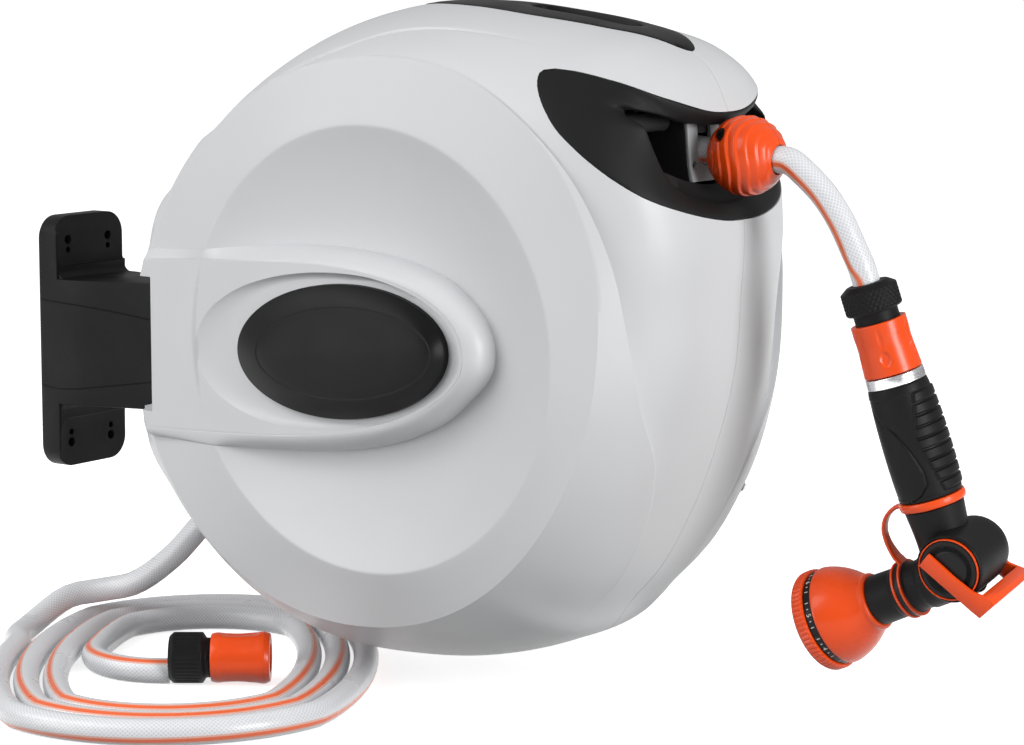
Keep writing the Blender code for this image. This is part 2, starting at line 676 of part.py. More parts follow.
def build_drum(white, steel, brass, hose_paint):
    """Everything that turns about the axle."""
    half = DRUM_HALF_WIDTH
    core = ((0.0166, -half), (0.021, -half), (0.021, -0.002), (0.041, -0.002), (0.041, -half),
            (BARREL_RADIUS, -half), (BARREL_RADIUS, half), (0.041, half), (0.041, 0.002), (0.021, 0.002),
            (0.021, half), (0.0166, half))
    turned("drum_core", core, 24, on_axle(), white, AXLE, ring=True)
    for name, end in (("left_flange", -1), ("right_flange", 1)):
        inside = end * (half + GAP)
        outside = end * (half + GAP + FLANGE_THICKNESS)
        lip = end * (half + GAP + 0.0045)
        profile = [(0.0166, inside), (FLANGE_RADIUS, inside), (FLANGE_RADIUS, lip), (FLANGE_RADIUS - 0.003, lip),
                   (FLANGE_RADIUS - 0.003, outside), (0.0166, outside)]
        flange = turned(name, profile, 36, on_axle(), white, AXLE, ring=True)
        for k in range(4):
            a = 2 * math.pi * (k + 0.41) / 4
            at = AXLE + Vector((0.098 * math.cos(a), 0, 0.098 * math.sin(a)))
            combine(flange, cylinder_cutter(f"{name}_window_{k}_cutter", 0.0190,
                                            at + Vector((0, -0.07, 0)), at + Vector((0, 0.071, 0)), 11))
        low, high = sorted((end * (half - 0.012), end * (half + 0.002)))
        washer(f"{'left' if end < 0 else 'right'}_bush", AXLE_RADIUS + 0.0003, 0.0163, low, high, 24,
               on_axle(), brass, AXLE)
    washer("inner_wraps", BARREL_RADIUS + GAP, 0.1176, -half + GAP, half - GAP, 32, on_axle(),
           hose_paint, AXLE)
    count = round(WINDING_TURNS * WINDING_LOOP_POINTS)
    points = []
    for i in range(count + 1):
        share = i / count
        a = WINDING_START + 2 * math.pi * WINDING_TURNS * share
        y = (share - 0.5) * WINDING_PITCH * WINDING_TURNS
        points.append(Vector((WINDING_RADIUS * math.cos(a), y, WINDING_RADIUS * math.sin(a))))
    least_gap("outer_wraps", points, HOSE_RADIUS)
    wraps = tube("outer_wraps", points, HOSE_RADIUS, hose_paint, 1)
    wraps.location = AXLE
    ratchet = []
    for i in range(RATCHET_TEETH):
        a = 2 * math.pi * i / RATCHET_TEETH
        step = 2 * math.pi / RATCHET_TEETH
        ratchet += [(RATCHET_RADIUS * math.cos(a), RATCHET_RADIUS * math.sin(a)),
                    ((RATCHET_RADIUS - 0.008) * math.cos(a + 0.06), (RATCHET_RADIUS - 0.008) * math.sin(a + 0.06)),
                    ((RATCHET_RADIUS - 0.004) * math.cos(a + step * 0.6),
                     (RATCHET_RADIUS - 0.004) * math.sin(a + step * 0.6))]
    wheel = prism("ratchet_wheel", ratchet, -0.003, 0.003, on_axle(RATCHET_Y), steel,
                  (AXLE.x, RATCHET_Y, AXLE.z))
    combine(wheel, cylinder_cutter("ratchet_bore_cutter", 0.0166, AXLE + Vector((0, -0.08, 0)),
                                   AXLE + Vector((0, -0.05, 0)), 24))
    gear("drum_gear", DRUM_TEETH, AXLE, -SCREW_ANGLE, 0.0166, white)


def build_spring(steel, white):
    """Spring housing on the drum, the spiral spring in it, and the arbor that holds its inner end."""
    low = DRUM_HALF_WIDTH + GAP + FLANGE_THICKNESS + GAP
    profile = ((0.0166, low), (0.064, low), (0.064, 0.080), (0.0615, 0.080), (0.0615, low + 0.0025),
               (0.0166, low + 0.0025))
    turned("spring_housing", profile, 28, on_axle(), white, AXLE, ring=True)
    washer("spring_cover", 0.0185, 0.064, 0.0803, 0.0823, 28, on_axle(), white, AXLE)
    washer("spring_arbor", AXLE_RADIUS + GAP, 0.0160, 0.0605, 0.0780, 24, on_axle(), steel)
    turns, per_turn = 4, 16
    start, end, thick = 0.0175, 0.0590, 0.0010
    inner, outer = [], []
    for i in range(turns * per_turn + 1):
        share = i / (turns * per_turn)
        a = 2 * math.pi * turns * share
        radius = start + (end - start) * share
        inner.append((radius * math.cos(a), radius * math.sin(a)))
        outer.append(((radius + thick) * math.cos(a), (radius + thick) * math.sin(a)))
    count = len(inner)
    points = []
    for level in (0.0625, 0.0765):
        points += [on_axle() @ Vector((x, y, level)) for x, y in inner + outer]
    faces = []
    for i in range(count - 1):
        a, b, c, d = i, i + 1, count + i + 1, count + i
        top = 2 * count
        faces += [(a, b, c, d), (a + top, d + top, c + top, b + top), (a, a + top, b + top, b),
                  (d, c, c + top, d + top)]
    last = count - 1
    faces += [(0, count, 3 * count, 2 * count), (last, last + 2 * count, last + 3 * count, last + count)]
    finish("spiral_spring", mesh_from("spiral_spring", points, faces), steel, AXLE)


def build_level_wind(white, black, steel, grey):
    """Axle, idler, lead screw, guide rod, the carriage with its hose run, and the pawl."""
    profile = ((0.0070, -0.0925), (AXLE_RADIUS, -0.0925), (AXLE_RADIUS, 0.0925), (0.0070, 0.0925))
    turned("axle", profile, 24, on_axle(), steel, AXLE, ring=True)
    idler, screw = level_wind_places()
    spin = SCREW_ANGLE
    gear("idler_gear", IDLER_TEETH, idler, -spin + math.pi + math.pi / IDLER_TEETH, IDLER_BORE + GAP, white)
    thread = []
    turns = 7
    length = 0.137
    for i in range(turns * 2 + 1):
        y = -length / 2 + length * i / (turns * 2)
        thread.append((SCREW_RADIUS if i % 2 else SCREW_RADIUS - 0.0014, y))
    profile = [(0, -0.0825), (0.004, -0.0825), (0.004, -length / 2)] + thread
    profile += [(0.004, length / 2), (0.004, 0.0755), (0, 0.0755)]
    shaft = turned("lead_screw", profile, 10, on_axle(centre=screw), steel, screw)
    teeth = gear_outline(SCREW_TEETH, GEAR_MODULE, math.pi - spin)
    combine(shaft, cutter(prism_mesh("screw_gear_teeth", teeth, -GEAR_WIDTH / 2, GEAR_WIDTH / 2,
                                     on_axle(GEAR_Y, screw))), "UNION")
    rod = ((0, -0.0725), (ROD_RADIUS, -0.0725), (ROD_RADIUS, 0.0725), (0, 0.0725))
    turned("guide_rod", rod, 20, on_axle(centre=ROD), black)
    for name, end in (("left_guide_bearing", -1), ("right_guide_bearing", 1)):
        low, high = sorted((end * 0.0690, end * 0.0723))
        outline = [(0.112, 0.092), (0.142, 0.088), (0.155, 0.122), (0.155, 0.140), (0.147, 0.144), (0.135, 0.140)]
        stand = prism(name, [(x, -z) for x, z in outline], low, high, on_axle(), white)
        combine(stand, cylinder_cutter(f"{name}_rod_cutter", ROD_RADIUS + GAP, ROD + Vector((0, -0.1, 0)),
                                       ROD + Vector((0, 0.1, 0))))
        combine(stand, cylinder_cutter(f"{name}_screw_cutter", 0.004 + GAP, screw + Vector((0, -0.1, 0)),
                                       screw + Vector((0, 0.1, 0)), 16))
    build_carriage(grey, screw)
    return idler, screw


def build_carriage(grey, screw):
    wide = CARRIAGE_HALF_WIDTH
    inner = wide - 0.0025
    outline = [(0.1185, 0.0850), (0.158, 0.0850), (0.168, 0.0950), (0.1705, 0.1080), (0.1705, 0.1270),
               (0.157, 0.1420), (0.136, 0.1450), (0.1185, 0.1340)]
    carriage = prism("hose_guide", [(x, -z) for x, z in outline], -wide, wide, on_axle(), grey, AXLE)
    hollow = [(0.1210, 0.0875), (0.190, 0.0875), (0.190, 0.1283), (0.1210, 0.1283)]
    combine(carriage, cutter(prism_mesh("carriage_hollow_cutter", [(x, -z) for x, z in hollow], -inner, inner,
                                        on_axle())))
    combine(carriage, cylinder_cutter("carriage_rod_cutter", ROD_RADIUS + GAP, ROD + Vector((0, -0.1, 0)),
                                      ROD + Vector((0, 0.1, 0))))
    combine(carriage, cylinder_cutter("carriage_screw_cutter", SCREW_RADIUS + GAP, screw + Vector((0, -0.1, 0)),
                                      screw + Vector((0, 0.1, 0))))
    combine(carriage, cylinder_cutter("carriage_hose_cutter", HOSE_RADIUS + 0.0008,
                                      AXLE + Vector((0.105, 0, 0.1197)), AXLE + Vector((0.128, 0, 0.1186))))
    combine(carriage, cylinder_cutter("carriage_hole_cutter", 0.0025, AXLE + Vector((0.1685, -0.05, 0.111)),
                                      AXLE + Vector((0.1685, 0.05, 0.111)), 12))


def build_pawl(steel):
    """Pawl at rest, lifted clear of the ratchet wheel, on a pin of the left shell."""
    pivot = AXLE + PAWL_PIVOT
    outline = [(-0.0070, 0.000), (-0.0050, -0.0055), (0.0000, -0.0072), (0.0060, -0.0050), (0.0200, -0.0010),
               (0.0262, 0.0060), (0.0240, 0.0075), (0.0150, 0.0055), (0.0040, 0.0070), (-0.0040, 0.0062)]
    place = on_axle(RATCHET_Y, pivot) @ Matrix.Rotation(math.radians(52), 4, "Z")
    pawl = prism("pawl", outline, -0.0025, 0.0025, place, steel, (pivot.x, RATCHET_Y, pivot.z))
    combine(pawl, cylinder_cutter("pawl_bore_cutter", 0.0035 + GAP, pivot + Vector((0, -0.1, 0)),
                                  pivot + Vector((0, 0, 0)), 14))


def hose_run_points():
    """Centreline inside the casing, from the winding to the front of the stopper ball."""
    tilt = Vector((math.cos(BALL_TILT), 0, math.sin(BALL_TILT)))
    return [AXLE + Vector((0.080, 0, 0.1225)), AXLE + Vector((0.105, 0, 0.1200)),
            BALL - tilt * (BALL_RADIUS + 0.016), BALL - tilt * (BALL_RADIUS + 0.003), BALL, BALL + tilt * 0.008]


# Free hose from the stopper ball to the spray gun, chosen by hand, from the axle
HOSE_END_ROUTE = ((0.2310, 0.0, 0.1078), (0.2440, 0.0005, 0.0960), (0.2545, 0.0010, 0.0820),
                  (0.2625, 0.0020, 0.0665))
# Lead-in hose from its gland to the start of the floor coil, chosen by hand
LEAD_ROUTE = ((0.0900, -0.0060, -0.1390), (0.0600, -0.0090, -0.1600), (0.0350, -0.0165, -0.1670),
              (0.0190, -0.0330, -0.1712), (0.0140, -0.0620, -0.1850), (0.0255, -0.0880, -0.1870))
GLAND_LENGTH = 0.016


def coil_points():
    """Loops with two round ends that spiral inwards on the floor, then an even turn to the connector."""
    points = []
    for i in range(COIL_LOOP_POINTS + 1):
        loops = i / LOOP_POINTS
        a = COIL_START + 2 * math.pi * loops
        radius = COIL_RADII[0] + (COIL_RADII[1] - COIL_RADII[0]) * loops / 3
        stretch = COIL_HALF_STRAIGHT * min(max(1.6 * math.sin(a), -1.0), 1.0)
        points.append(COIL_CENTRE + COIL_RIGHT * radius * math.cos(a)
                      + COIL_BACK * (radius * math.sin(a) + stretch))
    heading = (points[-1] - points[-2]).normalized()
    turn = math.atan2(-heading.dot(COIL_BACK), heading.dot(COIL_RIGHT))
    steps = 8
    for i in range(steps):
        middle = turn * (1 - (i + 0.5) / steps)
        step = COIL_END_RADIUS * turn / steps
        points.append(points[-1] + (COIL_RIGHT * math.cos(middle) - COIL_BACK * math.sin(middle)) * step)
    points.append(points[-1] + COIL_RIGHT * 0.003)
    return points


def build_hoses(hose_paint, black, orange):
    """Hose run, free hose, lead-in hose, its gland, its floor coil and the connector on its end."""
    run = hose_run_points()
    tube("hose_run", smooth_path(run, 0.016), HOSE_RADIUS, hose_paint)
    ahead = (run[-1] - run[-2]).normalized()
    start = run[-1] + ahead * 0.0006
    route = [start, start + ahead * 0.010, start + ahead * 0.020] + [AXLE + Vector(p) for p in HOSE_END_ROUTE]
    route += [GUN_TOP - GUN_AXIS * 0.009, GUN_TOP - GUN_AXIS * GAP]
    tube("hose_end", smooth_path(route, 0.0085), HOSE_RADIUS, hose_paint)
    gland = ((0.0088, -0.006), (0.0122, -0.006), (0.0122, 0.0), (0.0150, 0.0), (0.0150, 0.006),
             (0.0112, GLAND_LENGTH), (0.0088, GLAND_LENGTH))
    turned("lead_gland", gland, 20, facing(GLAND_AXIS, GLAND_POINT + GLAND_AXIS * 0.004), black, ring=True)
    coil = coil_points()
    least_gap("lead_coil", coil, HOSE_RADIUS)
    tube("lead_coil", coil, HOSE_RADIUS, hose_paint, 1)
    heading = (coil[0] - coil[1]).normalized()
    route = [GLAND_POINT - GLAND_AXIS * 0.012, GLAND_POINT + GLAND_AXIS * 0.006, GLAND_POINT + GLAND_AXIS * 0.024]
    route += [Vector(p) for p in LEAD_ROUTE] + [coil[0] + heading * 0.016, coil[0] + heading * GAP]
    tube("lead_hose", smooth_path(route, 0.013), HOSE_RADIUS, hose_paint)
    place = facing(COIL_RIGHT, coil[-1] + Vector((0, 0, 0.0085)))
    profile = [(0, GAP), (0.0135, GAP), (0.0160, 0.003), (0.0160, 0.021), (0.0125, 0.024), (0.0125, 0.0262),
               (0, 0.0262)]
    turned("lead_nut", profile, 20, place, black)
    profile = [(0.0075, 0.0265), (0.0150, 0.0265), (0.0158, 0.030), (0.0150, 0.044), (0.0165, 0.052),
               (0.0160, 0.060), (0.0135, 0.0635), (0.0095, 0.0635), (0.0095, 0.045), (0.0075, 0.045)]
    turned("lead_connector", profile, 24, place, orange, ring=True)


def build_ball(orange, steel):
    """Stopper ball on the hose: two halves held by one screw."""
    tilt = Vector((math.cos(BALL_TILT), 0, math.sin(BALL_TILT)))
    rings = 10
    profile = [(0.0, -BALL_RADIUS)]
    for i in range(1, 2 * rings):
        a = math.pi * i / (2 * rings)
        swell = -0.0009 if i % 2 else 0.0
        profile.append(((BALL_RADIUS + swell) * math.sin(a), -(BALL_RADIUS + swell) * math.cos(a)))
    profile.append((0.0, BALL_RADIUS))
    bore = cylinder_cutter("ball_bore_cutter", HOSE_RADIUS + 0.0008, BALL - tilt * 0.04, BALL + tilt * 0.04, 20)
    hole = cylinder_cutter("ball_screw_cutter", 0.0022, BALL + Vector((-0.008, -0.030, 0.0125)),
                           BALL + Vector((-0.008, 0.012, 0.0125)), 12)
    head = cylinder_cutter("ball_head_cutter", 0.0040, BALL + Vector((-0.008, -0.030, 0.0125)),
                           BALL + Vector((-0.008, -0.0135, 0.0125)), 14)
    for name, side in (("near_ball_half", -1), ("far_ball_half", 1)):
        half = turned(name, profile, 18, facing(tilt, BALL), orange)
        low, high = sorted((side * SEAM_HALF_GAP, side * 0.05))
        keep = cutter(box_mesh(f"{name}_keep_cutter", (BALL.x - 0.05, low, BALL.z - 0.05),
                               (BALL.x + 0.05, high, BALL.z + 0.05)))
        combine(half, keep, "INTERSECT")
        for tool in (bore, hole, head):
            combine(half, tool)
    at = BALL + Vector((-0.008, 0.0, 0.0125))
    profile = ((0, -0.0168), (0.0036, -0.0168), (0.0036, -0.0140), (0.0018, -0.0140), (0.0018, 0.0105), (0, 0.0115))
    turned("ball_screw", profile, 12, on_axle(centre=at), steel)


def along_gun(distance):
    return GUN_TOP + GUN_AXIS * distance


def knurled(radius, depth, ridges):
    turns = [2 * math.pi * i / (2 * ridges) for i in range(2 * ridges)]
    return [((radius - depth * (i % 2)) * math.cos(a), (radius - depth * (i % 2)) * math.sin(a))
            for i, a in enumerate(turns)]


def build_gun(black, orange, silver, dark):
    """Hose nut, quick connector and the spray gun, in order along the grip and then the head."""
    place = facing(GUN_AXIS, GUN_TOP)
    nut = prism("hose_nut", knurled(0.0166, 0.0009, 14), 0.0, 0.0162, place, black)
    stem = cutter(turned_mesh("nut_stem", ((0, 0.012), (0.0130, 0.012), (0.0130, 0.030), (0, 0.030)), 20, place))
    combine(nut, stem, "UNION")
    profile = ((0, 0.0303), (0.0090, 0.0303), (0.0090, 0.0530), (0, 0.0530))
    turned("connector_core", profile, 18, place, dark)
    profile = ((0.0133, 0.0224), (0.0162, 0.0224), (0.0160, 0.0330), (0.0166, 0.0400), (0.0168, 0.0527),
               (0.0093, 0.0527), (0.0093, 0.0346), (0.0133, 0.0346))
    turned("connector_sleeve", profile, 24, place, orange, along_gun(0.0224), ring=True)
    washer("silver_ring", 0.0085, 0.0172, 0.0533, 0.0594, 24, place, silver, along_gun(0.0533))
    spigot = ((0, 0.0534), (0.0082, 0.0534), (0.0082, 0.0700), (0, 0.0700))
    points = [(0.0, 0.0597), (0.0178, 0.0597), (0.0182, 0.0650)]
    ribs = 8
    for i in range(ribs):
        low = 0.0675 + i * 0.0066
        points += [(0.0186 if i in (0, ribs - 1) else 0.0190, low), (0.0200, low + 0.0033)]
    points += [(0.0197, 0.1235), (0.0193, 0.1270), (0.0, 0.1270)]
    grip = turned("grip", points, 18, place, black, along_gun(0.0597))
    combine(grip, cutter(turned_mesh("grip_spigot", spigot, 14, place)), "UNION")
    build_valve(black, orange, dark)
    build_head(orange, dark)
    build_strap(orange)


def valve_frame():
    """Local X points aside from the grip, local Y down along the grip, local Z along the valve."""
    turn = Matrix((VALVE_ASIDE, GUN_AXIS, VALVE_AXIS)).transposed().to_4x4()
    return Matrix.Translation(VALVE) @ turn


def build_valve(black, orange, dark):
    """Valve body with the stem into the grip and the neck of the head, its spindle and the lever."""
    across = VALVE_AXIS * VALVE_HALF_LENGTH
    profile = ((0, -0.025), (0.0185, -0.025), (0.0200, -0.0235), (0.0200, 0.0235), (0.0185, 0.025), (0, 0.025))
    body = turned("valve_body", profile, 24, valve_frame(), black, VALVE)
    stem = ((0, 0.1276), (0.0117, 0.1276), (0.0117, 0.1328), (0.0178, 0.1328), (0.0155, 0.1500),
            (0.0155, 0.1620), (0, 0.1620))
    combine(body, cutter(turned_mesh("valve_stem", stem, 20, facing(GUN_AXIS, GUN_TOP))), "UNION")
    neck = ((0, 0.0), (0.0155, 0.0), (0.0155, 0.0655), (0, 0.0655))
    combine(body, cutter(turned_mesh("valve_neck", neck, 20, facing(HEAD_AXIS, HEAD_BASE, CUTTER_SPIN))), "UNION")
    combine(body, cylinder_cutter("spindle_bore_cutter", 0.0083, VALVE - across * 1.2, VALVE + across * 1.2, 14))
    for end in (-1, 1):
        combine(body, cylinder_cutter(f"spindle_pocket_{end}_cutter", 0.0173, VALVE + across * end * 0.92,
                                      VALVE + across * end * 1.2, 22))
    spindle = ((0, -0.025), (0.0168, -0.025), (0.0170, -0.0234), (0.0080, -0.0234), (0.0080, 0.0234),
               (0.0170, 0.0234), (0.0168, 0.025), (0, 0.025))
    turned("valve_spindle", spindle, 24, valve_frame(), dark, VALVE)
    arm = [(-0.0154, -0.0062), (-0.0079, -0.0117), (0.0040, 0.0050), (0.0120, 0.0145), (0.0215, 0.0205),
           (0.0225, 0.0240), (0.0160, 0.0275), (0.0115, 0.0300), (0.0075, 0.0250)]
    lever = prism("flow_lever", arm, -0.0285, 0.0285, valve_frame(), orange, VALVE)
    combine(lever, cylinder_cutter("lever_gap_cutter", 0.0238, VALVE - VALVE_AXIS * 0.0253,
                                   VALVE + VALVE_AXIS * 0.0253, 24))


def build_head(orange, dark):
    """Spray head: fixed bell, and the dial that turns with its marked band and its spray plate."""
    place = facing(HEAD_AXIS, HEAD_BASE)
    bell = ((0, 0.0658), (0.0158, 0.0658), (0.0166, 0.0690), (0.0195, 0.0745), (0.0245, 0.0820),
            (0.0280, 0.0880), (0.0292, 0.0920), (0.0292, 0.0945), (0, 0.0945))
    turned("spray_bell", bell, 24, place, orange, HEAD_BASE)
    band = ((0, 0.0948), (0.0280, 0.0948), (0.0280, 0.0996), (0, 0.0996))
    turned("pattern_band", band, 24, place, dark, HEAD_BASE)
    bezel = prism("spray_bezel", knurled(0.0302, 0.0010, 18), 0.0999, 0.1075, place, orange, HEAD_BASE)
    combine(bezel, cutter(turned_mesh("bezel_bore", ((0, 0.09), (0.0253, 0.09), (0.0253, 0.12), (0, 0.12)), 24,
                                      place)))
    plate = ((0, 0.0999), (0.0250, 0.0999), (0.0250, 0.1040), (0.0150, 0.1052), (0, 0.1052))
    turned("spray_plate", plate, 24, place, dark, HEAD_BASE)


def swept_mesh(name, path, half_width, half_depth, side):
    """A flat strip along a path; its width lies along a fixed direction."""
    points = []
    for i, p in enumerate(path):
        ahead = (path[min(i + 1, len(path) - 1)] - path[max(i - 1, 0)]).normalized()
        out = side.cross(ahead).normalized() * half_depth
        wide = side.normalized() * half_width
        points += [p - wide - out, p + wide - out, p + wide + out, p - wide + out]
    faces = [(0, 1, 2, 3), tuple(len(points) - k for k in (1, 2, 3, 4))]
    for i in range(0, len(points) - 4, 4):
        for k in range(4):
            j = (k + 1) % 4
            faces.append((i + k, i + j, i + 4 + j, i + 4 + k))
    return mesh_from(name, points, faces)


def build_strap(orange):
    """Ring under the grip and collar on the neck, joined by a bowed strap."""
    strap = washer("hose_strap", 0.0120, 0.0196, 0.1276, 0.1324, 24, facing(GUN_AXIS, GUN_TOP), orange,
                   along_gun(0.130))
    collar = cutter(turned_mesh("strap_collar", ((0.0158, 0.0400), (0.0178, 0.0400), (0.0178, 0.0460),
                                                 (0.0158, 0.0460)), 24, facing(HEAD_AXIS, HEAD_BASE), True))
    combine(strap, collar, "UNION")
    aside, down = -VALVE_ASIDE, GUN_AXIS
    start = along_gun(0.130)
    bow = [start + aside * reach + down * drop for reach, drop in
           ((0.0180, 0.0), (0.0255, 0.0012), (0.0325, 0.0070), (0.0355, 0.0150), (0.0345, 0.0235),
            (0.0318, 0.0300))]
    foot = HEAD_BASE + HEAD_AXIS * 0.0430 - GUN_AXIS * 0.0168
    path = bow + [(bow[-1] + foot) / 2 + aside * 0.0004, foot]
    combine(strap, cutter(swept_mesh("strap_bow", path, 0.0030, 0.0014, VALVE_AXIS)), "UNION")


def build():
    for old in list(bpy.data.objects):
        bpy.data.objects.remove(old)
    light = material("light_shell", (0.78, 0.80, 0.81), 0.38)
    black = material("black_plastic", (0.022, 0.022, 0.024), 0.48)
    dark = material("dark_plastic", (0.030, 0.030, 0.032), 0.40)
    orange = material("orange_plastic", (0.90, 0.12, 0.02), 0.35)
    silver = material("silver_trim", (0.80, 0.80, 0.81), 0.25, 1.0)
    steel = material("steel", (0.55, 0.56, 0.57), 0.35, 1.0)
    brass = material("brass", (0.78, 0.57, 0.28), 0.35, 1.0)
    white = material("nylon", (0.85, 0.85, 0.82), 0.45)
    grey = material("guide_grey", (0.42, 0.44, 0.45), 0.45)
    hose_paint = material("hose", (0.66, 0.68, 0.69), 0.40)
    build_bracket(black, steel)
    build_casing(light, black, steel)
    build_drum(white, steel, brass, hose_paint)
    build_spring(steel, white)
    build_level_wind(white, black, steel, grey)
    build_pawl(steel)
    build_hoses(hose_paint, black, orange)
    build_ball(orange, steel)
    build_gun(black, orange, silver, dark)


build()
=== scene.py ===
"""Looks of the wall-mounted hose reel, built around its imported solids. Metres, +Z up."""

import json
import math

import bmesh
import bpy
import numpy as np
from mathutils import Matrix, Vector


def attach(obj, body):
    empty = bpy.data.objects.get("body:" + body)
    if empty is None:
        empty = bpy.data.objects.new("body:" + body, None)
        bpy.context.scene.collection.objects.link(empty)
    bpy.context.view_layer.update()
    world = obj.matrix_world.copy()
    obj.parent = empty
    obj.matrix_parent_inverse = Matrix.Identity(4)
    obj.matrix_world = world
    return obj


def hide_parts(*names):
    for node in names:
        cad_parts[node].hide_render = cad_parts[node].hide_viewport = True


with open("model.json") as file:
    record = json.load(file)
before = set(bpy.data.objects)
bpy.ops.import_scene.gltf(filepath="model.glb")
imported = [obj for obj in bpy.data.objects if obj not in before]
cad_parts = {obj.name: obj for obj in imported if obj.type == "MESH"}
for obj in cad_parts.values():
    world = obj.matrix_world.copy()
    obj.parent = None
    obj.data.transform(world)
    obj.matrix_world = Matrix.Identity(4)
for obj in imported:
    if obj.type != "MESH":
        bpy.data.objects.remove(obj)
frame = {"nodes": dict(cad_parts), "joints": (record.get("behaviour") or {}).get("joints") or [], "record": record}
NODES = frame["nodes"]
JOINTS = {joint["name"]: joint for joint in frame["joints"]}
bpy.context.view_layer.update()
SCENE = bpy.context.scene


def joint_place(name):
    return Vector(JOINTS[name]["pos_m"])


def joint_axis(name):
    return Vector(JOINTS[name]["axis"]).normalized()


# Places taken from the frame
AXLE = joint_place("drum_spin")
GUN_TOP = joint_place("nozzle_swivel")
GUN_AXIS = joint_axis("nozzle_swivel")
VALVE = joint_place("lever_turn")
VALVE_AXIS = joint_axis("lever_turn")
VALVE_ASIDE = GUN_AXIS.cross(VALVE_AXIS)
HEAD_BASE = joint_place("dial_turn")
HEAD_AXIS = joint_axis("dial_turn")
SWIVEL = joint_place("casing_swivel")

# Outlines of (y, z) drawn out along X, and outlines of (x, z) drawn out along Y
FACING_FRONT = Matrix(((0, 0, 1, 0), (1, 0, 0, 0), (0, 1, 0, 0), (0, 0, 0, 1)))
FACING_SIDE = Matrix(((1, 0, 0, 0), (0, 0, 1, 0), (0, 1, 0, 0), (0, 0, 0, 1)))
FLOOR_Z = -0.195
HOSE_RADIUS = 0.008
HOSE_BORE_RADIUS = HOSE_RADIUS + 0.0008
GAP = 0.0003
FINE = 2

# Camera: azimuth and elevation of its view, distance from the axle and the axle's place in the photograph
PHOTO_SIZE = (1024, 745)
VIEW_AZIMUTH = math.radians(35)
VIEW_ELEVATION = math.radians(8)
VIEW_DISTANCE = 2.0
METRES_PER_PIXEL = 0.615e-3
AXLE_PIXEL = (475, 331)


def build_camera():
    data = bpy.data.cameras.new("camera")
    camera = bpy.data.objects.new("camera", data)
    SCENE.collection.objects.link(camera)
    right = Vector((math.cos(VIEW_AZIMUTH), math.sin(VIEW_AZIMUTH), 0))
    back = Vector((math.sin(VIEW_AZIMUTH) * math.cos(VIEW_ELEVATION),
                   -math.cos(VIEW_AZIMUTH) * math.cos(VIEW_ELEVATION), math.sin(VIEW_ELEVATION)))
    up = back.cross(right)
    across = (AXLE_PIXEL[0] - PHOTO_SIZE[0] / 2) * METRES_PER_PIXEL
    above = (PHOTO_SIZE[1] / 2 - AXLE_PIXEL[1]) * METRES_PER_PIXEL
    data.sensor_width = 36.0
    data.lens = data.sensor_width * VIEW_DISTANCE / METRES_PER_PIXEL / PHOTO_SIZE[0]
    camera.location = AXLE + back * VIEW_DISTANCE - right * across - up * above
    camera.rotation_euler = Matrix((right, up, back)).transposed().to_euler()
    SCENE.camera = camera


def area_light(name, place, target, size, power):
    data = bpy.data.lights.new(name, "AREA")
    data.shape = "RECTANGLE"
    data.size, data.size_y = size
    data.energy = power
    light = bpy.data.objects.new(name, data)
    SCENE.collection.objects.link(light)
    light.location = place
    light.rotation_euler = (place - target).to_track_quat("Z", "Y").to_euler()


def build_stage():
    """Pale floor, soft lights and a pale world."""
    world = bpy.data.worlds.new("studio")
    SCENE.world = world
    world.use_nodes = True
    nodes, links = world.node_tree.nodes, world.node_tree.links
    background = nodes["Background"]
    background.inputs["Color"].default_value = (1.0, 1.0, 1.0, 1.0)
    coords = nodes.new("ShaderNodeTexCoord")
    split = nodes.new("ShaderNodeSeparateXYZ")
    links.new(coords.outputs["Generated"], split.inputs["Vector"])
    height = nodes.new("ShaderNodeMapRange")
    height.inputs["From Min"].default_value = -0.45
    height.inputs["From Max"].default_value = 0.45
    height.inputs["To Min"].default_value = GROUND_STRENGTH
    height.inputs["To Max"].default_value = SKY_STRENGTH
    links.new(split.outputs["Z"], height.inputs["Value"])
    seen = nodes.new("ShaderNodeLightPath")
    strength = nodes.new("ShaderNodeMapRange")
    links.new(height.outputs["Result"], strength.inputs["To Min"])
    strength.inputs["To Max"].default_value = 1.0
    links.new(seen.outputs["Is Camera Ray"], strength.inputs["Value"])
    links.new(strength.outputs["Result"], background.inputs["Strength"])
    SCENE.view_settings.view_transform = "Standard"
    mesh = mesh_from("floor", [(-12, -12, FLOOR_Z), (12, -12, FLOOR_Z), (12, 12, FLOOR_Z),
                               (-12, 12, FLOOR_Z)],
                     [(0, 1, 2, 3)])
    floor = bpy.data.objects.new("floor", mesh)
    SCENE.collection.objects.link(floor)
    paint, shader, _ = new_material("floor")
    shader.inputs["Base Color"].default_value = (0.93, 0.93, 0.93, 1)
    shader.inputs["Roughness"].default_value = 0.9
    shader.inputs["Emission Color"].default_value = (1, 1, 1, 1)
    shader.inputs["Emission Strength"].default_value = FLOOR_GLOW
    mesh.materials.append(paint)
    floor.visible_diffuse = False
    for name, place, size, power in LIGHTS:
        area_light(name, AXLE + Vector(place), AXLE, size, power)


LIGHTS = (("key", (-1.75, -1.3, 1.25), (0.9, 0.9), 9.6),
          ("left", (-0.75, -1.55, 1.35), (1.3, 1.1), 14.6),
          ("side", (-1.2, -1.9, 0.2), (1.0, 1.0), 12.0),
          ("front", (2.4, -0.42, 0.46), (0.8, 1.3), 44.0))
SKY_STRENGTH = 0.505
GROUND_STRENGTH = 0.06
FLOOR_GLOW = 0.72


# Materials

def new_material(name):
    made = bpy.data.materials.new(name)
    made.use_nodes = True
    return made, made.node_tree.nodes["Principled BSDF"], made.node_tree


